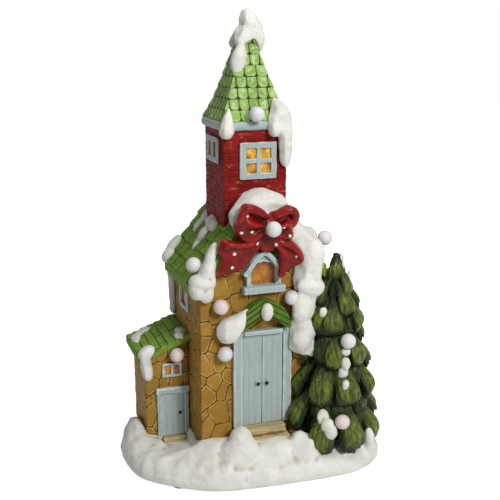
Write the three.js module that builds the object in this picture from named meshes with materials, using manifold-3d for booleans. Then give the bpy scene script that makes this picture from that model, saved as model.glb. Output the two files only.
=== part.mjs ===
// Lighted winter church: a tabletop decoration of painted resin castings on a snow base.
// Millimetres, +Z up, front towards -Y. The origin is the middle of the base at table level.
import * as THREE from "three";
import { ConvexGeometry } from "three/addons/geometries/ConvexGeometry.js";
import { mergeVertices } from "three/addons/utils/BufferGeometryUtils.js";
import Module from "manifold-3d";

const wasm = await Module();
wasm.setup();

// Casting and fitting
const WALL = 4;
const FIT = 0.3;

// Base
const BASE_WIDTH = 296;
const BASE_DEPTH = 196;
const FLOOR = 28;
const FOOT_HEIGHT = 2;
const FOOT_RADIUS = 7;
const PLATE_THICK = 3;
const PLATE_INSET = 12;

// Hall
const HALL_X = 4;
const HALL_WIDTH = 144;
const HALL_DEPTH = 120;
const HALL_FRONT = -39;
const RIDGE = 322;
const RIDGE_CAP = 313;
const PITCH = 1.27;
const ROOF_THICK = 8;
const EAVE_OUT = 8;
const VERGE_OUT = 9;
const SLAB_COURSE = 17;
const SLAB_LIP = 2.2;
const SLAB_WIDTH = 30;

// Tower and steeple
const TOWER_X = 3.5;
const TOWER_SIDE = 72;
const TOWER_SETBACK = 25;
const TOWER_TOP = 382;
const CORNICE_HEIGHT = 9;
const CORNICE_OUT = 4;
const STEEPLE_HEIGHT = 112;
const STEEPLE_HALF = 38.5;
const STEEPLE_FLARE = 0.14;
const COURSES = 9;
const COURSE_RISE = 11.5;
const TILE_LIP = 1.8;
const TILE_WIDTH = 14;

// Annex
const ANNEX_WIDTH = 51;
const ANNEX_SETBACK = 53;
const ANNEX_PITCH = 0.38;
const ANNEX_EAVE = 133.6;
const ANNEX_ROOF_THICK = 7.5;
const ANNEX_EAVE_OUT = 8;
const ANNEX_VERGE_OUT = 8;
const ANNEX_BACK_OUT = 2;
const PLANK_WIDTH = 13;

// Doors, hood and steps
const DOOR_WIDTH = 48;
const DOOR_FOOT = 54;
const DOOR_HEIGHT = 108;
const JAMB = 10;
const LINTEL_HIGH = 5;
const LINTEL_PROUD = 3;
const FRAME_PROUD = 6;
const LEAF_PROUD = 3;
const HOOD_PROUD = 15;
const FRONT_SHIFT = 2;
const KNOB_Z = 103;
const ANNEX_DOOR_INSET = 20;
const ANNEX_DOOR_WIDTH = 27;
const ANNEX_DOOR_HEIGHT = 54;
const ANNEX_JAMB = 5;
const ANNEX_FRAME_PROUD = 4;

// Windows
const GLASS_THICK = 1.6;
const SASH_PROUD = 3;
const GABLE_RISE = 55;
const GABLE_HALF = 19.5;
const GABLE_HEIGHT = 39.5;
const GABLE_BAND = 6;
const GABLE_STEP = 4;
const GABLE_PROUD = 9;
const SILL_HIGH = 7;
const SILL_PROUD = 3;
const SILL_OUT = 4;

// Lights and power
const GLOBE_RADIUS = 8.3;
const LED_RADIUS = 2.5;
const WIRE_RADIUS = 1.2;
const CELL_DIAMETER = 14.5;
const CELL_LENGTH = 50.5;
const CELL_COUNT = 3;
const BOX_WALL = 1.6;
const BOX_FOOT = 70;
const FLANGE_THICK = 2;
const DOOR_THICK = 2.2;
const BARREL_RADIUS = 2;
const PIN_RADIUS = 1;
const BARREL_HALF = 20;
const EAR_THICK = 4;
const EAR_RADIUS = 2.7;
const BOARD_WIDE = 40;
const BOARD_HIGH = 26;
const BOARD_THICK = 1.6;
const BOARD_POST = 2;
const SWITCH_TRAVEL = 4;

// Fir tree
const TREE_X = 85;
const TREE_Y = -50;
const TREE_TOP = 246;
const TREE_DROOP = 40;
const TREE_SQUASH = 0.85;
const TREE_CORE = 43;
const TREE_TIP = 4;
const BOUGH_NARROW = 7;
const BOUGH_BROAD = 14;

// Places worked out from the sizes above
const HALL_LEFT = HALL_X - HALL_WIDTH / 2;
const HALL_RIGHT = HALL_X + HALL_WIDTH / 2;
const HALL_BACK = HALL_FRONT + HALL_DEPTH;
const SLOPE_LENGTH = Math.hypot(1, PITCH);
const ROOF_DROP = ROOF_THICK * SLOPE_LENGTH;
const TOWER_FRONT = HALL_FRONT + TOWER_SETBACK;
const TOWER_BACK = TOWER_FRONT + TOWER_SIDE;
const TOWER_Y = (TOWER_FRONT + TOWER_BACK) / 2;
const STEEPLE_FOOT = TOWER_TOP + CORNICE_HEIGHT;
const ANNEX_LEFT = HALL_LEFT - ANNEX_WIDTH;
const ANNEX_FRONT = HALL_FRONT + ANNEX_SETBACK;
const LINTEL = DOOR_FOOT + DOOR_HEIGHT;
const FRONT_X = HALL_X - FRONT_SHIFT;
const GABLE_SILL = LINTEL + GABLE_RISE;
const EAVE_UNDER = RIDGE - (PITCH * HALL_WIDTH) / 2 - ROOF_DROP;
const ANNEX_DOOR_X = HALL_LEFT - ANNEX_DOOR_INSET;
const BOX_WIDE = CELL_LENGTH + 2;
const BOX_HIGH = CELL_COUNT * (CELL_DIAMETER + 1);
const BOX_DEEP = CELL_DIAMETER + 1;
const BOX_TOP = BOX_FOOT + BOX_HIGH;
const FLANGE_BACK = HALL_BACK + FLANGE_THICK;
const SWITCH_Z = BOX_TOP + 13;
const HINGE_Y = FLANGE_BACK + FIT + BARREL_RADIUS;
const HINGE_Z = BOX_FOOT - 4;
const BOARD_BACK = HALL_BACK - BOX_DEEP - BOX_WALL - BOARD_POST;
const BOARD_FRONT = BOARD_BACK - BOARD_THICK;
const BOARD_LOW = BOX_FOOT + 12;
const BOARD_TOP = BOARD_LOW + BOARD_HIGH;

// Paints, each a colour with its roughness
const paint = (color, roughness, metalness = 0) => ({ color, roughness, metalness });
const SNOW = paint(0xe9e6dd, 0.75);
const STONE = paint(0xb4823a, 0.7);
const BRICK = paint(0x8e1a20, 0.55);
const TILE_GREEN = paint(0x6a9a3a, 0.6);
const TRIM_BLUE = paint(0xb7c7c9, 0.65);
const FIR_GREEN = paint(0x1f4a24, 0.35);
const BOW_RED = paint(0xa01219, 0.3);
const TIMBER = paint(0xc49a5c, 0.7);
const AMBER = paint(0xe09a2c, 0.35);
const GLOBE = paint(0xf2eeee, 0.4);
const BLACK_PLASTIC = paint(0x1c1c1e, 0.5);
const BOARD_GREEN = paint(0x1e5a34, 0.5);
const WIRE_GREEN = paint(0x23402a, 0.5);
const RUBBER = paint(0x2a2a2a, 0.9);
const CELL_STEEL = paint(0xb9bcc0, 0.35, 0.8);

const part = new THREE.Group();

// A closed geometry becomes a solid for joining and cutting
function solid(geometry) {
  const bare = geometry.clone();
  bare.deleteAttribute("normal");
  bare.deleteAttribute("uv");
  const merged = mergeVertices(bare, 1e-4);
  const index = Array.from(merged.index.array);
  const kept = [];
  for (let i = 0; i < index.length; i += 3) {
    const [a, b, c] = index.slice(i, i + 3);
    if (a !== b && b !== c && c !== a) kept.push(a, b, c);
  }
  return new wasm.Manifold(new wasm.Mesh({
    numProp: 3,
    vertProperties: new Float32Array(merged.attributes.position.array),
    triVerts: new Uint32Array(kept),
  }));
}

// A finished solid is added to the part under its own name
function add(name, body, finish) {
  const mesh = body.getMesh();
  const geometry = new THREE.BufferGeometry();
  geometry.setAttribute("position", new THREE.BufferAttribute(mesh.vertProperties, 3));
  geometry.setIndex(new THREE.BufferAttribute(mesh.triVerts, 1));
  const material = new THREE.MeshStandardMaterial({ ...finish, flatShading: true });
  const piece = new THREE.Mesh(geometry, material);
  piece.name = name;
  part.add(piece);
}

const join = (bodies) => bodies.reduce((whole, body) => whole.add(body));
const cut = (body, tools) => tools.reduce((rest, tool) => rest.subtract(tool), body);

// Basic forms
function block(x0, x1, y0, y1, z0, z1) {
  const geometry = new THREE.BoxGeometry(x1 - x0, y1 - y0, z1 - z0);
  return solid(geometry.translate((x0 + x1) / 2, (y0 + y1) / 2, (z0 + z1) / 2));
}

const outline = (points) => new THREE.Shape(points.map(([u, v]) => new THREE.Vector2(u, v)));

// A shape in x and z, run from y0 to y1
function alongY(shape, y0, y1) {
  const settings = { depth: y1 - y0, bevelEnabled: false, curveSegments: 6 };
  const geometry = new THREE.ExtrudeGeometry(shape, settings);
  return solid(geometry.rotateX(Math.PI / 2).translate(0, y1, 0));
}

// A shape in y and z, run from x0 to x1
function alongX(shape, x0, x1) {
  const geometry = new THREE.ExtrudeGeometry(shape, { depth: x1 - x0, bevelEnabled: false });
  const turn = new THREE.Matrix4().makeBasis(
    new THREE.Vector3(0, 1, 0),
    new THREE.Vector3(0, 0, 1),
    new THREE.Vector3(1, 0, 0),
  );
  return solid(geometry.applyMatrix4(turn).translate(x0, 0, 0));
}

// A round rod between two points
function rod(from, to, radius, sides = 8) {
  const start = new THREE.Vector3(...from);
  const reach = new THREE.Vector3(...to).sub(start);
  const geometry = new THREE.CylinderGeometry(radius, radius, reach.length(), sides);
  const upright = new THREE.Vector3(0, 1, 0);
  const turn = new THREE.Quaternion().setFromUnitVectors(upright, reach.clone().normalize());
  geometry.applyQuaternion(turn);
  geometry.translate(...start.addScaledVector(reach, 0.5));
  return solid(geometry);
}

// An egg of three radii, turned about y and then z
function egg([x, y, z, rx, ry, rz, tiltY = 0, turnZ = 0], grow = 0, across = 12, down = 7) {
  const geometry = new THREE.SphereGeometry(1, across, down);
  geometry.rotateX(Math.PI / 2).scale(rx + grow, ry + grow, rz + grow);
  geometry.rotateY(tiltY).rotateZ(turnZ);
  return solid(geometry.translate(x, y, z));
}

// Eggs in a row under one skin: each neighbouring pair is wrapped, and the wraps are joined
function eggPoints([x, y, z, rx, ry = rx, rz = rx], grow) {
  const geometry = new THREE.SphereGeometry(1, 6, 5).rotateX(Math.PI / 2);
  geometry.scale(rx + grow, ry + grow, rz + grow).translate(x, y, z);
  const spots = geometry.attributes.position;
  return Array.from({ length: spots.count }, (_, i) => new THREE.Vector3().fromBufferAttribute(spots, i));
}

function chain(eggs, grow = 0) {
  const sets = eggs.map((one) => eggPoints(one, grow));
  if (sets.length === 1) return solid(new ConvexGeometry(sets[0]));
  return join(sets.slice(1).map((set, i) => solid(new ConvexGeometry([...sets[i], ...set]))));
}

// Rings of equal count joined into one closed skin, with a fan over each end
function loft(rings) {
  const count = rings[0].length;
  const positions = rings.flat(2);
  const index = [];
  for (let ring = 0; ring < rings.length - 1; ring += 1) {
    for (let i = 0; i < count; i += 1) {
      const a = ring * count + i;
      const b = ring * count + ((i + 1) % count);
      index.push(a, b, b + count, a, b + count, a + count);
    }
  }
  const centres = [rings[0], rings.at(-1)].map((ring) => [
    ring.reduce((sum, p) => sum + p[0], 0) / count,
    ring.reduce((sum, p) => sum + p[1], 0) / count,
    ring[0][2],
  ]);
  centres[1][2] = rings.at(-1).reduce((sum, p) => sum + p[2], 0) / count;
  const low = rings.length * count;
  const top = (rings.length - 1) * count;
  positions.push(...centres[0], ...centres[1]);
  for (let i = 0; i < count; i += 1) {
    index.push(low, (i + 1) % count, i);
    index.push(low + 1, top + i, top + ((i + 1) % count));
  }
  const geometry = new THREE.BufferGeometry();
  geometry.setAttribute("position", new THREE.Float32BufferAttribute(positions, 3));
  geometry.setIndex(index);
  return solid(geometry);
}

// The base's plan: a soft rectangle with its left front corner drawn in
const PLAN = [
  [-148, 34], [-147, -6], [-139, -32], [-116, -56], [-78, -82], [-48, -91], [4, -96], [60, -98], [100, -95],
  [132, -76], [146, -40], [148, 14], [143, 62], [116, 92], [60, 98], [0, 98], [-72, 96], [-126, 80],
];
const PLAN_STEPS = 42;

function planRing(inset, height) {
  const curve = new THREE.CatmullRomCurve3(PLAN.map(([x, y]) => new THREE.Vector3(x, y, 0)), true);
  const points = curve.getPoints(PLAN_STEPS).slice(0, PLAN_STEPS);
  const box = new THREE.Box3().setFromPoints(points);
  const middle = box.getCenter(new THREE.Vector3());
  const size = box.getSize(new THREE.Vector3());
  return points.map((p) => {
    const x = ((p.x - middle.x) / size.x) * (BASE_WIDTH - 2 * inset);
    const y = ((p.y - middle.y) / size.y) * (BASE_DEPTH - 2 * inset);
    return [x, y, typeof height === "function" ? height(x, y, inset) : height];
  });
}

// Snow hills that rise over the level ground: place, spread and height of each
const HILLS = [
  { x: HALL_LEFT + 16, y: HALL_FRONT - 6, wide: 42, deep: 26, high: 15 },
  { x: FRONT_X - 27, y: HALL_FRONT - 12, wide: 12, deep: 14, high: 13 },
  { x: FRONT_X + 6, y: HALL_FRONT - 28, wide: 26, deep: 10, high: 9 },
  { x: HALL_X + 45, y: HALL_FRONT - 14, wide: 11, deep: 15, high: 18 },
  { x: ANNEX_LEFT - 13, y: ANNEX_FRONT + 26, wide: 14, deep: 36, high: 22 },
  { x: HALL_LEFT - 2, y: ANNEX_FRONT - 10, wide: 14, deep: 16, high: 13 },
  { x: TREE_X + 31, y: TREE_Y - 30, wide: 8, deep: 9, high: 12 },
  { x: HALL_RIGHT + 50, y: HALL_FRONT + 60, wide: 26, deep: 50, high: 9 },
  { x: HALL_X, y: HALL_BACK + 6, wide: 120, deep: 14, high: 8 },
];
const BULGE = 12;
const SHOULDER = 26;
const BANK_STEPS = [3, 9, 18, 28, 39, 51, 68];

function snowLevel(x, y) {
  const hump = (hill) => {
    const away = ((x - hill.x) / hill.wide) ** 2 + ((y - hill.y) / hill.deep) ** 2;
    return hill.high * Math.exp(-away);
  };
  return FLOOR + 1 + HILLS.reduce((sum, hill) => sum + hump(hill), 0);
}

// The bank bulges over the table, then rounds in to the snow level
function baseMound(grow = 0) {
  const round = (x, y, inset) => {
    const share = 1 - Math.min(inset + grow, SHOULDER) / SHOULDER;
    return BULGE + (snowLevel(x, y) - BULGE) * Math.sqrt(1 - share ** 2) + grow;
  };
  return loft([
    planRing(3 - grow, FOOT_HEIGHT - grow), planRing(1 - grow, FOOT_HEIGHT + 4), planRing(-grow, BULGE),
    ...BANK_STEPS.map((inset) => planRing(inset - grow, round)),
  ]);
}

// Hall: gabled walls and a slab roof
const roofZ = (x) => RIDGE - PITCH * Math.abs(x - HALL_X);

function hallBody(grow = 0) {
  const side = HALL_WIDTH / 2 + grow;
  const drop = ROOF_DROP + FIT * SLOPE_LENGTH - grow;
  const shape = outline([
    [HALL_X - side, FLOOR], [HALL_X + side, FLOOR], [HALL_X + side, roofZ(HALL_X + side) - drop],
    [HALL_X, RIDGE - drop], [HALL_X - side, roofZ(HALL_X - side) - drop],
  ]);
  return alongY(shape, HALL_FRONT - grow, HALL_BACK + grow);
}

function roofBody(grow = 0) {
  const reach = HALL_WIDTH / 2 + EAVE_OUT + grow;
  const up = grow * SLOPE_LENGTH;
  const shape = outline([
    [HALL_X - reach, roofZ(HALL_X - reach) + up], [HALL_X - reach, roofZ(HALL_X - reach) - ROOF_DROP - up],
    [HALL_X, RIDGE - ROOF_DROP - up], [HALL_X + reach, roofZ(HALL_X + reach) - ROOF_DROP - up],
    [HALL_X + reach, roofZ(HALL_X + reach) + up], [HALL_X, RIDGE + up],
  ]);
  const whole = alongY(shape, HALL_FRONT - VERGE_OUT - grow, HALL_BACK + VERGE_OUT + grow);
  const peak = block(HALL_X - reach, HALL_X + reach, -BASE_DEPTH, BASE_DEPTH, RIDGE_CAP + grow, RIDGE + 20);
  return whole.subtract(peak);
}

const towerBody = (grow = 0, foot = RIDGE - 80) =>
  block(
    TOWER_X - TOWER_SIDE / 2 - grow, TOWER_X + TOWER_SIDE / 2 + grow,
    TOWER_FRONT - grow, TOWER_BACK + grow, foot, TOWER_TOP,
  );

// Each slab course is a thin wedge laid down the slope, thick at its lower edge
function slabWedges(side) {
  const reach = HALL_WIDTH / 2 + EAVE_OUT;
  const length = reach * SLOPE_LENGTH;
  const count = Math.floor(length / SLAB_COURSE);
  const along = (distance, out) => {
    const run = reach - distance / SLOPE_LENGTH;
    const x = HALL_X + side * (run + (out * PITCH) / SLOPE_LENGTH);
    return [x, RIDGE - PITCH * run + out / SLOPE_LENGTH];
  };
  const wedges = [];
  for (let course = 0; course < count; course += 1) {
    const low = course * SLAB_COURSE;
    const high = low + SLAB_COURSE;
    const foot = along(low, 0);
    const lip = [foot[0], foot[1] + SLAB_LIP * SLOPE_LENGTH];
    const points = [along(low, -1), foot, lip, along(high, 0.2), along(high, -1)];
    const shape = outline(side > 0 ? points.reverse() : points);
    const wedge = alongY(shape, HALL_FRONT - VERGE_OUT, HALL_BACK + VERGE_OUT);
    wedges.push(wedge.subtract(slabJoints(course, along)));
  }
  return wedges;
}

// Open joints between the slabs of one course, staggered by half a slab
function slabJoints(course, along) {
  const low = course * SLAB_COURSE;
  const shape = outline([
    along(low - 1, -0.4), along(low - 1, SLAB_LIP + 2),
    along(low + SLAB_COURSE + 1, SLAB_LIP + 2), along(low + SLAB_COURSE + 1, -0.4),
  ]);
  const start = HALL_FRONT - VERGE_OUT + SLAB_WIDTH * (course % 2 ? 0.5 : 1);
  const joints = [];
  for (let y = start; y < HALL_BACK + VERGE_OUT - 3; y += SLAB_WIDTH) {
    joints.push(alongY(shape, y - 0.6, y + 0.6));
  }
  return join(joints);
}

// Snow patches on the left slope: the centre as a share of the slope's run, and the radii
const ROOF_PATCHES = [
  { share: -0.52, y: HALL_BACK - 15, long: 14, wide: 13, thick: 4 },
  { share: -0.57, y: HALL_BACK - 54, long: 19, wide: 22, thick: 5 },
];

function roofPatches() {
  const reach = HALL_WIDTH / 2 + EAVE_OUT;
  return join(ROOF_PATCHES.map(({ share, y, long, wide, thick }) => {
    const x = HALL_X + share * reach;
    return egg([x, y, roofZ(x), long, wide, thick, -Math.atan(PITCH)], 0, 8, 5);
  }));
}

// Boughs from the top down: height of the tips, reach from the trunk, and bearings in degrees
const TREE_TIERS = [
  { tip: 222, reach: 11, bearings: [-110, 60] },
  { tip: 203, reach: 20, bearings: [-50, 30, 110] },
  { tip: 192, reach: 25, bearings: [-170] },
  { tip: 183, reach: 28, bearings: [-75, 5] },
  { tip: 164, reach: 33, bearings: [-35, -115, -160, 75] },
  { tip: 146, reach: 35, bearings: [0, 130] },
  { tip: 126, reach: 39, bearings: [-55, -105, 168, 60] },
  { tip: 115, reach: 43, bearings: [-5, 110] },
  { tip: 86, reach: 48.5, bearings: [-30, -87, -130, 165, 40] },
  { tip: 52, reach: 55, bearings: [-176, 5, 75, 120] },
  { tip: 33, reach: 56, bearings: [-35, -81, -125] },
];
const BOUGH_FLAT = 0.85;

// One drooping bough: a tongue that leaves the trunk, bends down and broadens to a blunt end
function bough(bearing, tip, reach) {
  const share = reach / TREE_TIERS.at(-1).reach;
  const rise = TREE_DROOP * (0.4 + share);
  const width = BOUGH_NARROW + (BOUGH_BROAD - BOUGH_NARROW) * share;
  const geometry = new THREE.SphereGeometry(1, 6, 4).rotateZ(Math.PI / 2);
  const spots = geometry.attributes.position;
  for (let i = 0; i < spots.count; i += 1) {
    const blunt = Math.sign(spots.getX(i)) * Math.sqrt(Math.abs(spots.getX(i)));
    const along = (1 + blunt) / 2;
    const spread = width * (0.6 + 0.5 * along);
    const drop = along ** 1.7;
    const out = reach * along + spots.getZ(i) * spread * 0.5 * drop;
    const up = tip + rise * (1 - drop) + spots.getZ(i) * spread * BOUGH_FLAT;
    spots.setXYZ(i, out, spots.getY(i) * spread, up);
  }
  geometry.rotateZ(THREE.MathUtils.degToRad(bearing));
  return solid(geometry.scale(1, TREE_SQUASH, 1).translate(TREE_X, TREE_Y, 0));
}

function treeBody() {
  const height = TREE_TOP - FLOOR - 6;
  const core = new THREE.CylinderGeometry(TREE_TIP, TREE_CORE, height, 8).rotateX(Math.PI / 2);
  core.scale(1, TREE_SQUASH, 1).translate(TREE_X, TREE_Y, TREE_TOP - height / 2);
  const boughs = TREE_TIERS.flatMap(({ tip, reach, bearings }) =>
    bearings.map((bearing) => bough(bearing, tip, reach)));
  return join([solid(core), ...boughs]);
}

// Bow: four cut-out ribbons with rounded edges and a knot, relative to the knot's centre
const KNOT = [FRONT_X + 1.3, HALL_FRONT - VERGE_OUT - 8, RIDGE - 36];
const BOW_RIBBONS = [
  [
    [-3, 12], [-9, 18.5], [-22, 25], [-29, 24], [-34, 13], [-38.5, 4],
    [-38, -3], [-33, -11], [-26, -16], [-14, -16], [-5, -10],
  ],
  [
    [1, 12], [10.5, 16.5], [22, 21], [28.5, 18.5], [31, 13], [29, 5],
    [26.5, -3], [28, -13], [22, -17], [14, -15.5], [4, -12],
  ],
  [
    [-4, -8], [-20, -14], [-36, -14], [-49, -11], [-54, -17], [-55, -25], [-51, -31],
    [-56, -49], [-44, -49], [-30, -46], [-22, -39], [-9, -23],
  ],
  [
    [0, -8], [12, -14], [29, -20], [37, -30], [42, -39], [37, -45.5], [24, -49],
    [18, -58], [12, -57], [13, -46], [11, -26], [3, -20],
  ],
];
const RIBBON_POINTS = 14;
const RIBBON_ROUND = 2.5;

function ribbon(points, front, back, grow) {
  const curve = new THREE.SplineCurve([...points, points[0]].map(([x, z]) => new THREE.Vector2(x, z)));
  const shape = new THREE.Shape(curve.getPoints(RIBBON_POINTS).slice(0, RIBBON_POINTS));
  const bevel = RIBBON_ROUND + grow;
  const geometry = new THREE.ExtrudeGeometry(shape, {
    depth: back - front - 2 * RIBBON_ROUND,
    bevelThickness: bevel, bevelSize: bevel, bevelOffset: -RIBBON_ROUND, bevelSegments: 1,
  });
  geometry.rotateX(Math.PI / 2);
  return solid(geometry.translate(KNOT[0], KNOT[1] + back - RIBBON_ROUND, KNOT[2]));
}

function bowBody(grow = 0) {
  const [left, right, leftTail, rightTail] = BOW_RIBBONS;
  return join([
    ribbon(left, -7, 8, grow), ribbon(right, -7, 8, grow),
    ribbon(leftTail, -3, 8 - FIT, grow), ribbon(rightTail, -3, 8 - FIT, grow),
    egg([KNOT[0], KNOT[1] - 1, KNOT[2] + 2, 8, 8, 11], grow, 10, 6),
    egg([KNOT[0], KNOT[1] + 4, KNOT[2] - 4, 12, 6, 14], grow, 10, 6),
  ]);
}

// Windows: a plate of panes for a wall that faces the front, or the left when turned
function paneHoles(u0, u1, z0, z1, columns, rows, bar) {
  const wide = (u1 - u0 - bar * (columns - 1)) / columns;
  const high = (z1 - z0 - bar * (rows - 1)) / rows;
  const holes = [];
  for (let column = 0; column < columns; column += 1) {
    for (let row = 0; row < rows; row += 1) {
      const u = u0 + column * (wide + bar);
      const z = z0 + row * (high + bar);
      holes.push(outline([[u, z], [u + wide, z], [u + wide, z + high], [u, z + high]]));
    }
  }
  return holes;
}

const rectangle = (u0, u1, z0, z1) => outline([[u0, z0], [u1, z0], [u1, z1], [u0, z1]]);

const SASHES = {
  tower_front_window: {
    face: "front", at: TOWER_FRONT, u: TOWER_X + 2.5,
    wide: 42, foot: TOWER_TOP - 53, high: 40, grid: [2, 2], bar: 4.5, rim: 6.5,
  },
  tower_left_window: {
    face: "left", at: TOWER_X - TOWER_SIDE / 2, u: TOWER_Y + 1,
    wide: 42, foot: TOWER_TOP - 37, high: 28, grid: [2, 1], bar: 5, rim: 6,
  },
  hall_left_window: {
    face: "left", at: HALL_LEFT, u: TOWER_Y + 2,
    wide: 34, foot: EAVE_UNDER - 40, high: 32, grid: [1, 1], bar: 4, rim: 5,
  },
  annex_window: {
    face: "front", at: ANNEX_FRONT, u: ANNEX_DOOR_X,
    wide: 23, foot: ANNEX_EAVE - 32.6, high: 17, grid: [2, 1], bar: 2.5, rim: 3,
  },
};

// The opening behind a sash, cut through its wall
function sashOpening({ face, at, u, wide, foot, high, rim }, grow = 0) {
  const side = wide / 2 - rim + grow;
  const shape = rectangle(u - side, u + side, foot + rim - grow, foot + high - rim + grow);
  return face === "front" ? alongY(shape, at - 1, at + WALL + 1) : alongX(shape, at - 1, at + WALL + 1);
}

function addSash(name, sash) {
  const { face, at, u, wide, foot, high, grid, bar, rim } = sash;
  const run = face === "front" ? alongY : alongX;
  const frame = rectangle(u - wide / 2, u + wide / 2, foot, foot + high);
  const inner = wide / 2 - rim;
  const holes = paneHoles(u - inner, u + inner, foot + rim, foot + high - rim, ...grid, bar);
  const openings = holes.map((hole) => run(hole, at - SASH_PROUD - 1, at + 1));
  const side = inner + 1 - FIT;
  const glass = rectangle(u - side, u + side, foot + rim - 1 + FIT, foot + high - rim + 1 - FIT);
  add(`${name}_frame`, cut(run(frame, at - SASH_PROUD, at), openings), TRIM_BLUE);
  add(`${name}_pane`, run(glass, at, at + GLASS_THICK), AMBER);
}

// Gable window: a pointed arch of two bands with a sill
const ARCH_SPRING = 18;

function arch(half, foot, spring, shoulder, top) {
  const shape = new THREE.Shape();
  shape.moveTo(FRONT_X - half, foot);
  shape.lineTo(FRONT_X + half, foot);
  shape.lineTo(FRONT_X + half, spring);
  shape.quadraticCurveTo(FRONT_X + half * 0.85, shoulder, FRONT_X + half * 0.25, top - 1);
  shape.lineTo(FRONT_X, top);
  shape.lineTo(FRONT_X - half * 0.25, top - 1);
  shape.quadraticCurveTo(FRONT_X - half * 0.85, shoulder, FRONT_X - half, spring);
  return shape;
}

const GABLE_TOP = GABLE_SILL + GABLE_HEIGHT;
const GABLE_SPRING = GABLE_SILL + ARCH_SPRING;

const gableArch = (grow) =>
  arch(GABLE_HALF + grow, GABLE_SILL - grow, GABLE_SPRING, GABLE_TOP - 6 + grow, GABLE_TOP + grow);

function gableOpening(grow = 0) {
  const top = GABLE_SPRING + 9.5 + grow;
  return arch(GABLE_HALF - GABLE_BAND + grow, GABLE_SILL + 2 - grow, GABLE_SPRING + 2, top - 1, top);
}

function gableFrame(grow = 0) {
  const front = HALL_FRONT - GABLE_PROUD - grow;
  const overSill = block(-BASE_WIDTH, BASE_WIDTH, -BASE_DEPTH, HALL_FRONT, GABLE_SILL + 1, RIDGE);
  const step = alongY(gableArch(grow - GABLE_STEP), front - 1, front + 2.5).intersect(overSill);
  const out = GABLE_HALF + SILL_OUT + grow;
  const under = GABLE_SILL - SILL_HIGH - grow;
  const sill = block(FRONT_X - out, FRONT_X + out, front - SILL_PROUD, HALL_FRONT, under, GABLE_SILL + 1);
  const bands = alongY(gableArch(grow), front, HALL_FRONT);
  return (grow > 0 ? bands : bands.subtract(step)).add(sill);
}

// Door hood: two falling halves over the lintel, like a small roof
const HOOD_HALF = 30;
const HOOD_OUTSIDE = [[1, 10], [0.97, 16], [0.75, 29], [0.43, 37]];
const HOOD_INSIDE = [[0.93, 5.5], [0.8, 7.5], [0.53, 15], [0.27, 20.5]];
const HOOD_TOP = 42;
const HOOD_ARCH = 22;

function hoodBody(grow = 0) {
  const place = (side, [share, rise], out) => [FRONT_X + side * (HOOD_HALF * share + out), LINTEL + rise];
  const outside = HOOD_OUTSIDE.map(([share, rise]) => [share, rise + grow]);
  const left = outside.map((point) => place(-1, point, grow));
  const right = outside.map((point) => place(1, point, grow)).reverse();
  const under = [
    ...HOOD_INSIDE.map((point) => place(1, point, 0)), [FRONT_X, LINTEL + HOOD_ARCH],
    ...HOOD_INSIDE.map((point) => place(-1, point, 0)).reverse(),
  ];
  const shape = outline([...left, [FRONT_X, LINTEL + HOOD_TOP + grow], ...right, ...under].reverse());
  return alongY(shape, HALL_FRONT - HOOD_PROUD - grow, HALL_FRONT);
}

// Steps in front of the hall door, two treads
const STEP_RISE = 9;
const TREAD = 8;
const STEP_SIDE = 23;

function stepsBody(grow = 0) {
  const left = FRONT_X - STEP_SIDE - grow;
  const right = FRONT_X + STEP_SIDE + 2 + grow;
  const upper = HALL_FRONT - FRAME_PROUD - TREAD - grow;
  const middle = DOOR_FOOT - STEP_RISE;
  return join([
    block(left, right, upper, HALL_FRONT, middle - grow, DOOR_FOOT),
    block(left + 4, right + 2, upper - TREAD, HALL_FRONT, middle - STEP_RISE - grow, middle),
  ]);
}

const annexStepBody = (grow = 0) =>
  block(
    ANNEX_DOOR_X - ANNEX_DOOR_WIDTH / 2 + FIT - grow, ANNEX_DOOR_X + ANNEX_DOOR_WIDTH / 2 - FIT + grow,
    ANNEX_FRONT - 9 - grow, ANNEX_FRONT, FLOOR - 8 - grow, FLOOR,
  );

// Annex: lean-to walls and a planked roof
const annexRoofZ = (x) => ANNEX_EAVE + ANNEX_PITCH * (x - ANNEX_LEFT);

function annexBody(grow = 0) {
  const left = ANNEX_LEFT - grow;
  const right = HALL_LEFT;
  const drop = ANNEX_ROOF_THICK + FIT * 1.1 - grow;
  const shape = outline([
    [left, FLOOR], [right, FLOOR], [right, annexRoofZ(right) - drop], [left, annexRoofZ(left) - drop],
  ]);
  return alongY(shape, ANNEX_FRONT - grow, HALL_BACK + grow);
}

function annexRoofBody(grow = 0) {
  const left = ANNEX_LEFT - ANNEX_EAVE_OUT - grow;
  const right = HALL_LEFT - FIT;
  const shape = outline([
    [left, annexRoofZ(left) - ANNEX_ROOF_THICK - grow], [right, annexRoofZ(right) - ANNEX_ROOF_THICK - grow],
    [right, annexRoofZ(right) + grow], [left, annexRoofZ(left) + grow],
  ]);
  return alongY(shape, ANNEX_FRONT - ANNEX_VERGE_OUT - grow, HALL_BACK + ANNEX_BACK_OUT + grow);
}

// Grooves that part the roof planks, running down the slope
function plankGrooves() {
  const left = ANNEX_LEFT - ANNEX_EAVE_OUT - 1;
  const shape = outline([
    [left, annexRoofZ(left) - 1.2], [HALL_LEFT, annexRoofZ(HALL_LEFT) - 1.2],
    [HALL_LEFT, annexRoofZ(HALL_LEFT) + 2], [left, annexRoofZ(left) + 2],
  ]);
  const front = ANNEX_FRONT - ANNEX_VERGE_OUT;
  const back = HALL_BACK + ANNEX_BACK_OUT - 4;
  const grooves = [];
  for (let y = front + PLANK_WIDTH; y < back; y += PLANK_WIDTH) grooves.push(alongY(shape, y - 0.6, y + 0.6));
  return join(grooves);
}

const ANNEX_PATCHES = [
  { x: ANNEX_LEFT + 2, y: HALL_BACK - 14, wide: 11, deep: 14, thick: 4 },
  { x: HALL_LEFT - 8, y: ANNEX_FRONT + 14, wide: 8, deep: 16, thick: 5 },
];

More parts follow.
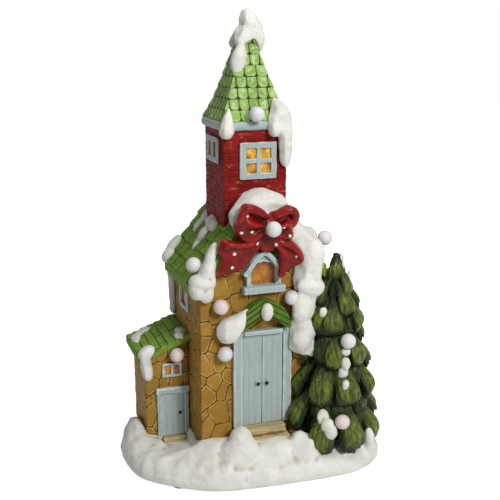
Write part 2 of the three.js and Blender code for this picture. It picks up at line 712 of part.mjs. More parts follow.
function annexPatches() {
  const tilt = -Math.atan(ANNEX_PITCH);
  return join(ANNEX_PATCHES.map(({ x, y, wide, deep, thick }) =>
    egg([x, y, annexRoofZ(x), wide, deep, thick, tilt], 0, 8, 5)));
}

// Cornice and steeple
function squareLathe(profile) {
  const points = profile.map(([half, z]) => new THREE.Vector2(half * Math.SQRT2, z));
  const geometry = new THREE.LatheGeometry(points, 4, Math.PI / 4);
  return solid(geometry.rotateX(Math.PI / 2).translate(TOWER_X, TOWER_Y, 0));
}

// A rounded band under the eaves
function corniceBody(grow = 0) {
  const inner = TOWER_SIDE / 2 + CORNICE_OUT / 4 + grow;
  const outer = TOWER_SIDE / 2 + CORNICE_OUT + grow;
  return squareLathe([
    [0, TOWER_TOP - grow], [inner, TOWER_TOP - grow], [outer, TOWER_TOP + CORNICE_HEIGHT * 0.25],
    [outer, TOWER_TOP + CORNICE_HEIGHT * 0.75], [inner + 1, STEEPLE_FOOT], [0, STEEPLE_FOOT],
  ]);
}

// Half the steeple's side at a height: a straight taper with a flare near the eaves
function steepleHalf(z) {
  const left = 1 - (z - STEEPLE_FOOT) / STEEPLE_HEIGHT;
  return STEEPLE_HALF * ((1 - STEEPLE_FLARE) * left + STEEPLE_FLARE * left ** 5);
}

function steepleBody(grow = 0) {
  const profile = [[0, STEEPLE_FOOT]];
  for (let course = 0; course < COURSES; course += 1) {
    const low = STEEPLE_FOOT + course * COURSE_RISE;
    profile.push([steepleHalf(low) + TILE_LIP + grow, low]);
    profile.push([steepleHalf(low + COURSE_RISE) + 0.3 + grow, low + COURSE_RISE]);
  }
  profile.push([0, STEEPLE_FOOT + STEEPLE_HEIGHT + grow]);
  return squareLathe(profile);
}

// The notch between two scalloped tiles: a thin slit that opens into rounded lower corners
function tileNotches() {
  const notches = [];
  for (let course = 0; course < COURSES - 1; course += 1) {
    const low = STEEPLE_FOOT + course * COURSE_RISE;
    const half = steepleHalf(low) + TILE_LIP;
    const lean = (half - steepleHalf(low + COURSE_RISE)) / COURSE_RISE;
    const count = Math.max(1, Math.round((2 * half) / TILE_WIDTH));
    const pitch = (2 * half) / count;
    const shift = course % 2 ? pitch / 2 : 0;
    for (let i = course % 2 ? 0 : 1; i < count; i += 1) {
      const u = -half + shift + i * pitch;
      if (Math.abs(u) > half - 2.5) continue;
      notches.push([u, low, half, lean]);
    }
  }
  const faces = [];
  for (let face = 0; face < 4; face += 1) {
    for (const [u, low, half, lean] of notches) {
      faces.push(notchSolid(u, low, half, lean, face));
    }
  }
  return faces;
}

function notchSolid(u, low, half, lean, face) {
  const shape = outline([
    [0, COURSE_RISE * 0.9], [-0.8, 3], [-3, -0.4], [3, -0.4], [0.8, 3],
  ]);
  const geometry = new THREE.ExtrudeGeometry(shape, { depth: 4, bevelEnabled: false });
  geometry.rotateX(Math.PI / 2).rotateX(-Math.atan(lean));
  geometry.translate(u, -half + 1.4, low).rotateZ((face * Math.PI) / 2);
  return solid(geometry.translate(TOWER_X, TOWER_Y, 0));
}

// Globes: where each one sits and which way it faces out of its surface
const tilted = (x, y, z) => new THREE.Vector3(x, y, z).normalize();
const FORWARD = tilted(0, -1, 0);
const WALL_GLOBE_Y = HALL_FRONT - GLOBE_RADIUS - 0.4;
const LAMPS = [
  {
    name: "bulb_steeple", at: [TOWER_X - 2.4, TOWER_FRONT - 11.5, STEEPLE_FOOT + 8.5],
    out: tilted(0, -0.88, 0.47), reach: 30,
  },
  { name: "bulb_bow", at: [KNOT[0], KNOT[1] - 17, KNOT[2]], out: FORWARD, reach: 40 },
  {
    name: "bulb_right_roof", at: [HALL_RIGHT + 4, HALL_FRONT + 9.3, roofZ(HALL_RIGHT + 4) + 35.5],
    out: tilted(PITCH, 0, 1), reach: 36,
  },
  {
    name: "bulb_left_roof", at: [HALL_LEFT - 3.6, HALL_FRONT + 7.5, roofZ(HALL_LEFT - 3.6) + 17.5],
    out: tilted(-PITCH, 0, 1), reach: 22,
  },
  { name: "bulb_wall_upper_left", at: [FRONT_X - 48.7, WALL_GLOBE_Y, LINTEL + 37], out: FORWARD, reach: 20 },
  { name: "bulb_wall_upper_right", at: [FRONT_X + 32, WALL_GLOBE_Y, LINTEL + 39.5], out: FORWARD, reach: 20 },
  { name: "bulb_wall_lower_left", at: [FRONT_X - 44.5, WALL_GLOBE_Y, LINTEL - 17], out: FORWARD, reach: 20 },
  {
    name: "bulb_annex", at: [ANNEX_DOOR_X + 4.6, ANNEX_FRONT - GLOBE_RADIUS - 0.4, ANNEX_EAVE - 4.2],
    out: FORWARD, reach: 20,
  },
  { name: "bulb_tree_upper", at: [TREE_X + 2, TREE_Y - 33, 157], out: tilted(0, -1, 0.1), reach: 30 },
  { name: "bulb_tree_lower", at: [TREE_X - 5, TREE_Y - 39, 65], out: tilted(-0.2, -1, 0.1), reach: 34 },
];

const behind = ({ at, out }, distance) => at.map((value, axis) => value - out.getComponent(axis) * distance);
const globe = ({ at }, grow = 0) => egg([...at, GLOBE_RADIUS, GLOBE_RADIUS, GLOBE_RADIUS], grow, 9, 6);
const ledRod = (lamp, radius) => rod(behind(lamp, GLOBE_RADIUS + 3), behind(lamp, -1), radius, 5);

// The wire runs up the middle of the hall and tower, with a branch to every globe
const TRUNK = [HALL_X, TOWER_Y + 6];
const TREE_WIRE = [TREE_X - 2, TREE_Y + 4];
const TUNNEL = 18;

function wireRuns() {
  const boardLevel = (BOARD_LOW + BOARD_TOP) / 2;
  const runs = [
    [[HALL_X + BOARD_WIDE / 4, BOARD_BACK, boardLevel], [...TRUNK, boardLevel]],
    [[...TRUNK, TUNNEL], [...TRUNK, STEEPLE_FOOT - 5]],
    [[...TRUNK, TUNNEL], [...TREE_WIRE, TUNNEL]],
    [[...TREE_WIRE, TUNNEL], [...TREE_WIRE, 158]],
  ];
  for (const lamp of LAMPS) {
    const end = behind(lamp, lamp.reach);
    const trunk = lamp.name.startsWith("bulb_tree") ? TREE_WIRE : TRUNK;
    runs.push([behind(lamp, GLOBE_RADIUS + 2), end]);
    runs.push([end, [...trunk, Math.min(end[2], STEEPLE_FOOT - 5)]]);
  }
  return runs;
}

// All the wires as one solid; a larger radius gives the way cut for them
function wireBody(radius) {
  return join(wireRuns().map(([from, to]) => {
    const spare = new THREE.Vector3(...to).sub(new THREE.Vector3(...from)).setLength(WIRE_RADIUS);
    const start = from.map((value, axis) => value - spare.getComponent(axis));
    const end = to.map((value, axis) => value + spare.getComponent(axis));
    return rod(start, end, radius, 4);
  }));
}

const wireWay = wireBody(WIRE_RADIUS + FIT + 0.2);
const ledWay = join(LAMPS.map((lamp) => ledRod(lamp, LED_RADIUS + FIT)));
const globes = join(LAMPS.map((lamp) => globe(lamp, FIT)));
const clearWires = (body) => cut(body, [wireWay, ledWay]);

// Power: a box for three cells in the rear wall, its hinged door and a slide switch
const boxSpace = (grow) =>
  block(
    HALL_X - BOX_WIDE / 2 - grow, HALL_X + BOX_WIDE / 2 + grow,
    HALL_BACK - BOX_DEEP - grow, FLANGE_BACK + 1, BOX_FOOT - grow, BOX_TOP + grow,
  );

const switchSlot = (grow, y0, y1) =>
  block(HALL_X - 4.2 - grow, HALL_X + 4.2 + grow, y0, y1, SWITCH_Z - 1.8 - grow, SWITCH_Z + 1.8 + grow);

function batteryBox() {
  const flange = block(
    HALL_X - BOX_WIDE / 2 - 6, HALL_X + BOX_WIDE / 2 + 6, HALL_BACK, FLANGE_BACK, BOX_FOOT - 9, SWITCH_Z + 8,
  );
  const tray = boxSpace(BOX_WALL).intersect(block(-BASE_WIDTH, BASE_WIDTH, 0, HALL_BACK, 0, RIDGE));
  const ears = [-1, 1].flatMap((side) => {
    const near = HALL_X + side * (BARREL_HALF + FIT);
    const far = near + side * EAR_THICK;
    const [x0, x1] = [Math.min(near, far), Math.max(near, far)];
    return [
      rod([x0, HINGE_Y, HINGE_Z], [x1, HINGE_Y, HINGE_Z], EAR_RADIUS, 12),
      block(x0, x1, FLANGE_BACK - 1, HINGE_Y, HINGE_Z - EAR_RADIUS + 0.1, HINGE_Z + EAR_RADIUS - 0.1),
    ];
  });
  const pinWay = rod(
    [HALL_X - BARREL_HALF - EAR_THICK - 2, HINGE_Y, HINGE_Z],
    [HALL_X + BARREL_HALF + EAR_THICK + 2, HINGE_Y, HINGE_Z], PIN_RADIUS + FIT, 12,
  );
  const stops = [-1, 1].map((side) => block(
    HALL_X + side * 15 - 2, HALL_X + side * 15 + 2,
    BOARD_BACK, BOARD_BACK + BOARD_POST + 0.5, BOARD_LOW + 4, BOARD_TOP - 4,
  ));
  const slot = switchSlot(0, HALL_BACK - 1, FLANGE_BACK + 1);
  return cut(join([flange, tray, ...ears, ...stops]), [boxSpace(0), pinWay, slot]);
}

function batteryDoor() {
  const inner = FLANGE_BACK + FIT;
  const side = BOX_WIDE / 2 + 3.5;
  const top = BOX_TOP + 3;
  const earEdge = HINGE_Z + EAR_RADIUS + 0.9;
  const pinReach = BARREL_HALF + FIT + EAR_THICK - 0.5;
  const round = (half, radius, sides) =>
    rod([HALL_X - half, HINGE_Y, HINGE_Z], [HALL_X + half, HINGE_Y, HINGE_Z], radius, sides);
  return join([
    block(HALL_X - side, HALL_X + side, inner, inner + DOOR_THICK, earEdge, top),
    block(HALL_X - BARREL_HALF, HALL_X + BARREL_HALF, inner, inner + DOOR_THICK, HINGE_Z, earEdge + 1),
    block(HALL_X - 7, HALL_X + 7, inner + DOOR_THICK - 0.5, inner + DOOR_THICK + 1.6, top - 4, top - 1.5),
    round(BARREL_HALF, BARREL_RADIUS, 12),
    round(pinReach, PIN_RADIUS, 10),
  ]);
}

// The switch knob rests at the off end of its slot
function powerSwitch() {
  const x = HALL_X - SWITCH_TRAVEL / 2;
  return join([
    block(x - 2, x + 2, HALL_BACK - 1, FLANGE_BACK + 1, SWITCH_Z - 1.5, SWITCH_Z + 1.5),
    block(x - 4, x + 4, FLANGE_BACK + FIT, FLANGE_BACK + 2.6, SWITCH_Z - 3, SWITCH_Z + 3),
    block(x - 5, x + 5, HALL_BACK - 1.5, HALL_BACK - FIT, SWITCH_Z - 3, SWITCH_Z + 3),
    ...[-2, 0, 2].map((step) => block(
      x + step - 0.5, x + step + 0.5, FLANGE_BACK + 2, FLANGE_BACK + 3.4, SWITCH_Z - 3, SWITCH_Z + 3)),
  ]);
}

function cell(slot) {
  const z = BOX_FOOT + (slot + 0.5) * (CELL_DIAMETER + 1);
  const y = HALL_BACK - BOX_DEEP / 2;
  const end = (slot % 2 ? 1 : -1) * (CELL_LENGTH / 2);
  return join([
    rod([HALL_X - end, y, z], [HALL_X + end * 0.96, y, z], CELL_DIAMETER / 2, 12),
    rod([HALL_X, y, z], [HALL_X + end, y, z], 2.8, 8),
  ]);
}

// Masses of snow: rows of eggs under one skin, each row measured from a corner of the building.
// An egg is its place from the corner and its radii; a tiny egg makes a pointed tip.
const rowFrom = ([x, y, z], eggs) => eggs.map(([dx, dy, dz, ...radii]) => [x + dx, y + dy, z + dz, ...radii]);
const GABLE_PEAK = [HALL_X, HALL_FRONT, RIDGE];
const LEFT_VERGE = [HALL_LEFT, HALL_FRONT, RIDGE];
const BACK_VERGE = [HALL_LEFT, HALL_BACK, RIDGE];
const DOOR_HEAD = [FRONT_X, HALL_FRONT, LINTEL];
const ANNEX_CORNER = [ANNEX_LEFT, ANNEX_FRONT, ANNEX_EAVE];
const TOWER_EAVE = [TOWER_X, TOWER_FRONT, STEEPLE_FOOT];
const SPIRE = [TOWER_X, TOWER_Y, STEEPLE_FOOT + STEEPLE_HEIGHT];

const SNOWS = {
  snow_gable: [
    rowFrom(GABLE_PEAK, [
      [-26, 0, -29, 13, 19, 14], [-12, 8, -19, 14, 28, 15], [2, 10, -15, 15, 30, 15],
      [16, 8, -21, 14, 28, 15], [27, 0, -41, 12, 19, 14], [46, -2, -64, 17, 17, 15],
      [57, -3, -73, 13, 17, 16], [52, -4, -91, 18, 17, 18], [50, -4, -105, 18, 16, 15],
      [47, -7, -129, 10.5, 12, 11], [46, -8, -143, 16, 12, 9], [42, -8, -159, 15, 12, 12],
      [44, -8, -175, 18, 12, 13], [52, -8, -184, 9, 10, 8],
    ]),
    rowFrom(GABLE_PEAK, [[56, -5, -108, 12, 11, 11], [66, -5, -114, 7, 8, 6]]),
    rowFrom(GABLE_PEAK, [[49, 8, -58, 18, 16, 14], [55, 44, -68, 16, 18, 12]]),
  ],
  snow_roof_left: [
    rowFrom(LEFT_VERGE, [
      [13, -4, -55, 1.5], [4, -4, -73, 9.5, 12, 10], [1, -4, -89, 15, 13, 12],
      [2.5, -4, -103, 13, 12, 12], [2, -4, -111, 9, 10, 7],
    ]),
  ],
  snow_back_corner: [
    rowFrom(BACK_VERGE, [
      [7, 1, -81, 4, 8, 5], [0, 0, -92, 7, 11, 8], [-3, -1, -106, 6, 11, 10],
      [-1.5, -1, -120, 6, 9, 9], [-0.5, -2, -137, 5.5, 9, 10], [-0.5, -3, -160, 6, 9, 8],
    ]),
  ],
  snow_hood: [
    rowFrom(DOOR_HEAD, [[-20, -12, 32, 1.5], [-30, -11, 17, 9, 10, 10], [-40, -9, 9, 15, 12, 15]]),
  ],
  snow_keystone: [rowFrom(DOOR_HEAD, [[0, -HOOD_PROUD - 3, 29, 7, 6, 10.5]])],
  snow_annex_corner: [
    rowFrom(ANNEX_CORNER, [[4, -6, 4, 8, 8, 6], [-2, -7, 0, 7, 8, 7], [2, -7, -24, 6.5, 7.5, 8]]),
  ],
  snow_eave_left: [
    rowFrom(TOWER_EAVE, [[-31, -4, 14, 1.5], [-35, -8, -8, 9, 8, 9]]),
  ],
  snow_eave_right: [
    rowFrom(TOWER_EAVE, [
      [23, 4, 20, 4], [27, -2, 4, 13, 12, 13], [33, -5, -14, 8, 9, 10], [33, -4, -40, 6.5, 7, 10],
    ]),
    rowFrom(TOWER_EAVE, [[24, -3, 2, 12, 10, 10], [19, -7, -9, 7, 8, 7]]),
  ],
  snow_steeple_cap: [
    rowFrom(SPIRE, [
      [2.5, 0, -9, 10, 11, 14], [8.5, -1, -17, 11, 12, 13], [14.5, -5, -28, 6, 9, 13],
    ]),
    rowFrom(SPIRE, [
      [7, -1, -18, 11, 12, 11], [-1, -1, -23, 13, 14, 11], [-8.5, -7, -29, 7, 8, 7],
      [-10, -12, -36, 4, 5, 5], [-11.5, -14, -51, 8, 6, 12],
    ]),
    rowFrom(SPIRE, [[0, 0, -23, 13, 13, 10], [-13, 6, -32, 4, 6, 5]]),
  ],
};

const snowMass = (chains, grow = 0) => join(chains.map((eggs) => chain(eggs, grow)));

// What snow, tree and bow must leave room for
const neighbours = [
  hallBody(FIT), roofBody(SLAB_LIP + FIT), towerBody(FIT), corniceBody(FIT), steepleBody(FIT),
  annexBody(FIT), annexRoofBody(FIT), gableFrame(FIT), hoodBody(FIT), globes,
];

function addBase() {
  const hallFoot = block(HALL_LEFT - FIT, HALL_RIGHT + FIT, HALL_FRONT - FIT, HALL_BACK + FIT, FLOOR, RIDGE);
  const annexFoot = block(ANNEX_LEFT - FIT, HALL_LEFT, ANNEX_FRONT - FIT, HALL_BACK + FIT, FLOOR, RIDGE);
  const plate = (grow, z0, z1) => loft([z0, z1].map((z) => planRing(PLATE_INSET - grow, z)));
  const frames = [doorFrame(FIT), annexDoorFrame(FIT), stepsBody(FIT), annexStepBody(FIT)];
  const plateSeat = plate(FIT, FOOT_HEIGHT - 1, FOOT_HEIGHT + PLATE_THICK);
  const body = cut(baseMound(), [hallFoot, annexFoot, ...frames, plateSeat]);
  add("base_casting", clearWires(body).subtract(globes), SNOW);
  add("base_plate", plate(0, FOOT_HEIGHT, FOOT_HEIGHT + PLATE_THICK), RUBBER);
  const footX = (BASE_WIDTH / 2 - PLATE_INSET) * 0.72;
  const footY = (BASE_DEPTH / 2 - PLATE_INSET) * 0.62;
  [[-1, -1], [1, -1], [1, 1], [-1, 1]].forEach(([sx, sy], i) => {
    const [x, y] = [sx * footX, sy * footY];
    add(`foot_${i + 1}`, rod([x, y, 0], [x, y, FOOT_HEIGHT], FOOT_RADIUS, 12), RUBBER);
  });
}

function doorFrame(grow = 0) {
  const half = DOOR_WIDTH / 2 + JAMB + grow;
  const lip = DOOR_WIDTH / 2 - 2 + grow;
  const front = HALL_FRONT - FRAME_PROUD - grow;
  const top = LINTEL + LINTEL_HIGH + grow;
  return join([
    block(FRONT_X - half, FRONT_X + half, front, HALL_FRONT, DOOR_FOOT - grow, top),
    block(FRONT_X - lip, FRONT_X + lip, front - LINTEL_PROUD, HALL_FRONT, LINTEL - grow, top),
  ]);
}

function annexDoorFrame(grow = 0) {
  const half = ANNEX_DOOR_WIDTH / 2 + ANNEX_JAMB + grow;
  const top = FLOOR + ANNEX_DOOR_HEIGHT;
  const front = ANNEX_FRONT - ANNEX_FRAME_PROUD - grow;
  return join([
    block(ANNEX_DOOR_X - half, ANNEX_DOOR_X + half, front, ANNEX_FRONT, FLOOR - 1 - grow, top),
    block(ANNEX_DOOR_X - half - 1, ANNEX_DOOR_X + half + 1, front - 2, ANNEX_FRONT, top, top + 7),
  ]);
}

function addHall() {
  const inner = block(
    HALL_LEFT + WALL, HALL_RIGHT - WALL, HALL_FRONT + WALL, HALL_BACK - WALL, FLOOR - 1, RIDGE,
  );
  const gable = alongY(gableOpening(1), HALL_FRONT - 1, HALL_FRONT + WALL + 1);
  const switchHole = switchSlot(3, HALL_BACK - WALL - 1, HALL_BACK + 1);
  const walls = cut(hallBody(), [
    inner, gable, sashOpening(SASHES.hall_left_window, 1), boxSpace(BOX_WALL + FIT), switchHole,
  ]);
  add("hall_walls", clearWires(walls), STONE);

  const lightHole = block(
    TOWER_X - TOWER_SIDE / 2 + WALL + 2, TOWER_X + TOWER_SIDE / 2 - WALL - 2,
    TOWER_FRONT + WALL + 2, TOWER_BACK - WALL - 2, RIDGE - 120, RIDGE + 20,
  );
  const slabs = join([roofBody(), ...slabWedges(-1), ...slabWedges(1), roofPatches()]);
  const top = block(-BASE_WIDTH, BASE_WIDTH, -BASE_DEPTH, BASE_DEPTH, RIDGE_CAP, RIDGE + 20);
  add("hall_roof", clearWires(cut(slabs, [towerSeat(), lightHole, top])), TILE_GREEN);
}

// The tower's foot is a square ring let into the slabs down to the plain slope
function towerSeat() {
  const ring = towerBody(FIT).subtract(block(
    TOWER_X - TOWER_SIDE / 2 + WALL + FIT, TOWER_X + TOWER_SIDE / 2 - WALL - FIT,
    TOWER_FRONT + WALL + FIT, TOWER_BACK - WALL - FIT, 0, RIDGE * 2,
  ));
  return ring.subtract(roofBody(0));
}

function addTower() {
  const inner = block(
    TOWER_X - TOWER_SIDE / 2 + WALL, TOWER_X + TOWER_SIDE / 2 - WALL,
    TOWER_FRONT + WALL, TOWER_BACK - WALL, 0, TOWER_TOP + 1,
  );
  const openings = [sashOpening(SASHES.tower_front_window, 1), sashOpening(SASHES.tower_left_window, 1)];
  const under = block(-BASE_WIDTH, BASE_WIDTH, -BASE_DEPTH, BASE_DEPTH, 0, RIDGE - 70);
  const walls = cut(towerBody(), [inner, roofBody(FIT), roofUnder(), under, ...openings]);
  add("tower_walls", clearWires(walls), BRICK);

  const well = block(
    TOWER_X - TOWER_SIDE / 2 + WALL, TOWER_X + TOWER_SIDE / 2 - WALL,
    TOWER_FRONT + WALL, TOWER_BACK - WALL, TOWER_TOP - 1, STEEPLE_FOOT + 1,
  );
  add("tower_cornice", clearWires(corniceBody().subtract(well)), TRIM_BLUE);
  add("steeple_roof", clearWires(cut(steepleBody(), tileNotches())), TILE_GREEN);
}

// Everything below the roof's slopes, so that the tower ends on them
function roofUnder() {
  const reach = HALL_WIDTH / 2 + EAVE_OUT;
  const eave = roofZ(HALL_X + reach) - 1;
  const shape = outline([
    [HALL_X - reach, 0], [HALL_X + reach, 0], [HALL_X + reach, eave],
    [HALL_X, RIDGE_CAP - 4], [HALL_X - reach, eave],
  ]);
  return alongY(shape, HALL_FRONT, HALL_BACK);
}

function addAnnex() {
  const inner = block(
    ANNEX_LEFT + WALL, HALL_LEFT - WALL, ANNEX_FRONT + WALL, HALL_BACK - WALL, FLOOR - 1, RIDGE,
  );
  const walls = cut(annexBody(), [inner, sashOpening(SASHES.annex_window, 1)]);
  add("annex_walls", clearWires(walls), STONE);
  const roof = annexRoofBody().subtract(plankGrooves()).add(annexPatches().subtract(hallBody(FIT)));
  add("annex_roof", cut(roof, [wireWay, hallBody(FIT), annexBody(FIT)]), TILE_GREEN);
}

function addDoors() {
  const half = DOOR_WIDTH / 2;
  const clear = block(FRONT_X - half, FRONT_X + half, -BASE_DEPTH, HALL_FRONT + 1, DOOR_FOOT - 1, LINTEL);
  add("hall_door_frame", doorFrame().subtract(clear), TRIM_BLUE);
  [-1, 1].forEach((side) => {
    const edge = side > 0 ? [0.4, half - FIT] : [-half + FIT, -0.4];
    const knob = egg([FRONT_X + side * 5, HALL_FRONT - LEAF_PROUD - 1.5, KNOB_Z, 2.4, 2.4, 2.4], 0, 6, 4);
    const [x0, x1] = edge.map((x) => FRONT_X + x);
    const leaf = block(x0, x1, HALL_FRONT - LEAF_PROUD, HALL_FRONT, DOOR_FOOT + FIT, LINTEL - FIT);
    const middle = (x0 + x1) / 2;
    const groove = block(middle - 0.5, middle + 0.5, -BASE_DEPTH, HALL_FRONT - LEAF_PROUD + 0.8, 0, LINTEL);
    add(side > 0 ? "hall_door_right" : "hall_door_left", leaf.subtract(groove).add(knob), TRIM_BLUE);
  });
  add("hall_steps", stepsBody().subtract(block(
    -BASE_WIDTH, BASE_WIDTH, -BASE_DEPTH, HALL_FRONT + 1, DOOR_FOOT, DOOR_FOOT + 9)), TIMBER);
  add("door_hood", cut(hoodBody(), [doorFrame(FIT), globes]), TILE_GREEN);

  const side = ANNEX_DOOR_WIDTH / 2;
  const top = FLOOR + ANNEX_DOOR_HEIGHT;
  const gap = block(ANNEX_DOOR_X - side, ANNEX_DOOR_X + side, -BASE_DEPTH, ANNEX_FRONT + 1, 0, top);
  add("annex_door_frame", annexDoorFrame().subtract(gap), TRIM_BLUE);
  const leafSide = side - FIT;
  const leaf = block(
    ANNEX_DOOR_X - leafSide, ANNEX_DOOR_X + leafSide, ANNEX_FRONT - 2, ANNEX_FRONT, FLOOR + FIT, top - FIT,
  );
  const grooves = [-2, -1, 0, 1, 2].map((step) => {
    const x = ANNEX_DOOR_X + (step * ANNEX_DOOR_WIDTH) / 6;
    return block(x - 0.4, x + 0.4, -BASE_DEPTH, ANNEX_FRONT - 1.3, 0, top);
  });
  const knob = egg([ANNEX_DOOR_X + 8, ANNEX_FRONT - 3.2, 56, 2, 2, 2], 0, 6, 4);
  add("annex_door", cut(leaf, grooves).add(knob), TRIM_BLUE);
  add("annex_doorstep", annexStepBody(), TIMBER);
}

function addWindows() {
  Object.entries(SASHES).forEach(([name, sash]) => addSash(name, sash));
  const hole = alongY(gableOpening(), HALL_FRONT - GABLE_PROUD - 5, HALL_FRONT + 1);
  add("gable_window_frame", cut(gableFrame(), [hole, globes]), TRIM_BLUE);
  add("gable_window_pane", alongY(gableOpening(1 - FIT), HALL_FRONT, HALL_FRONT + GLASS_THICK), AMBER);
}

function addTreeAndBow() {
  const bow = cut(bowBody(), [gableFrame(FIT), roofBody(FIT), hallBody(FIT), globes]);
  add("bow", clearWires(bow), BOW_RED);
  const room = [
    hallBody(FIT), roofBody(SLAB_LIP + FIT), stepsBody(FIT), doorFrame(FIT), hoodBody(FIT),
    baseMound(FIT), globes, snowMass(SNOWS.snow_gable, FIT),
  ];
  add("fir_tree", largest(clearWires(cut(treeBody(), room))), FIR_GREEN);
}

function addSnow() {
  const bow = bowBody(FIT);
  for (const [name, mass] of Object.entries(SNOWS)) {
    const body = cut(snowMass(mass), [...neighbours, bow, doorFrame(FIT)]);
    add(name, largest(clearWires(body)), SNOW);
  }
}

// Cutting can leave slivers of snow behind a wall, and only the main mass is cast
function largest(body) {
  const pieces = body.decompose();
  return pieces.reduce((best, piece) => (piece.volume() > best.volume() ? piece : best));
}

function addLights() {
  for (const lamp of LAMPS) {
    const bore = rod(behind(lamp, GLOBE_RADIUS + 1), behind(lamp, -1 - FIT), LED_RADIUS + FIT, 5);
    add(lamp.name, globe(lamp).subtract(bore), GLOBE);
  }
  const harness = join([wireBody(WIRE_RADIUS), ...LAMPS.map((lamp) => ledRod(lamp, LED_RADIUS))]);
  const board = (grow, y0, y1) => {
    const side = BOARD_WIDE / 2 + grow;
    return block(HALL_X - side, HALL_X + side, y0, y1, BOARD_LOW - grow, BOARD_TOP + grow);
  };
  const chip = block(
    HALL_X - 12, HALL_X - 4, BOARD_FRONT - 2, BOARD_FRONT + 1, BOARD_LOW + 8, BOARD_LOW + 16,
  );
  add("led_harness", harness.subtract(board(FIT, BOARD_FRONT - FIT, HALL_BACK)), WIRE_GREEN);
  add("circuit_board", board(0, BOARD_FRONT, BOARD_BACK).add(chip), BOARD_GREEN);
}

function addPower() {
  add("battery_box", batteryBox(), BLACK_PLASTIC);
  add("battery_door", batteryDoor(), BLACK_PLASTIC);
  add("power_switch", powerSwitch(), BLACK_PLASTIC);
  for (let slot = 0; slot < CELL_COUNT; slot += 1) add(`battery_${slot + 1}`, cell(slot), CELL_STEEL);
}

addBase();
addHall();
addTower();
addAnnex();
addDoors();
addWindows();
addTreeAndBow();
addSnow();
addLights();
addPower();

export default part;
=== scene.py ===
"""Lighted winter church: the looks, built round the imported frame. Lengths are in metres."""
import math

import bmesh
import bpy
import numpy as np
from bpy.props import FloatProperty, FloatVectorProperty, PointerProperty
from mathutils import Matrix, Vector
from mathutils.bvhtree import BVHTree


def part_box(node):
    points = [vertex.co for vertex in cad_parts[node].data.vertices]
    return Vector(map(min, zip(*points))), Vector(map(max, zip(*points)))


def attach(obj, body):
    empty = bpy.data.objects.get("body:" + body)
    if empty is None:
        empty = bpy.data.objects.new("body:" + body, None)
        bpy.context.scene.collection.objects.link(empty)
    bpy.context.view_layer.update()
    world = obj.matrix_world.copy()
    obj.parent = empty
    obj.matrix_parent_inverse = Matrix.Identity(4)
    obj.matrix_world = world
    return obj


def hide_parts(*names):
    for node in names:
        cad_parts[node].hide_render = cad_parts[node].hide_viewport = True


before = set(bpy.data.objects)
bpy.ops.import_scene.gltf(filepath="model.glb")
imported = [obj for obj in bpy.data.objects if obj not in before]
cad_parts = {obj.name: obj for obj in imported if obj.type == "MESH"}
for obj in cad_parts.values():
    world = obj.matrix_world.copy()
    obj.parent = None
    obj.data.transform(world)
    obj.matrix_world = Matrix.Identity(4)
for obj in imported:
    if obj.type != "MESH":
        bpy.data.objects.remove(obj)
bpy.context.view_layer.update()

bl_info = {
    "name": "Lighted Winter Church",
    "version": (1, 0, 0),
    "blender": (4, 5, 0),
    "location": "3D View > Sidebar > Church",
    "description": "Dresses a tabletop winter church in cast and painted detail",
    "category": "Object",
}

MM = 0.001
HOUSE = "house"


def length(name, description, millimetres):
    return FloatProperty(
        name=name, description=description, default=millimetres * MM, unit="LENGTH", precision=4)


def colour(name, description, *paint):
    return FloatVectorProperty(
        name=name, description=description, default=paint, subtype="COLOR", size=3, min=0.0, max=1.0)


class ChurchSizes(bpy.types.PropertyGroup):
    """Sizes of the cast detail."""
    snow_voxel: length("Snow grain", "Grid on which the snow is cast", 1.7)
    snow_lump: length("Snow lump", "Distance between lumps in the snow", 15.0)
    snow_relief: length("Snow relief", "How far the lumps stand out", 1.5)
    trim_voxel: length("Trim grain", "Grid on which frames and doors are cast", 0.85)
    stone_size: length("Stone size", "Usual width of a flagstone", 19.0)
    crack_width: length("Crack width", "Width of the cracks between flagstones", 0.8)
    crack_depth: length("Crack depth", "Depth of the cracks between flagstones", 0.9)
    brick_course: length("Brick course", "Height of one brick course on the tower", 6.4)
    brick_length: length("Brick length", "Length of a brick on the tower", 27.0)
    tile_course: length("Tile course", "Rise of one course of steeple tiles", 11.5)
    tile_width: length("Tile width", "Width of a steeple tile", 11.6)
    tile_lip: length("Tile lip", "Thickness of a steeple tile at its lower edge", 1.1)
    slab_course: length("Slab course", "Length of a roof slab down the slope", 17.0)
    slab_width: length("Slab width", "Width of a roof slab", 24.0)
    slab_lip: length("Slab lip", "Thickness of a roof slab at its lower edge", 2.2)
    plank_width: length("Plank width", "Width of an annex roof plank", 9.0)
    needle_ridge: length("Needle ridge", "Height of the needle ridges on the fir", 1.1)


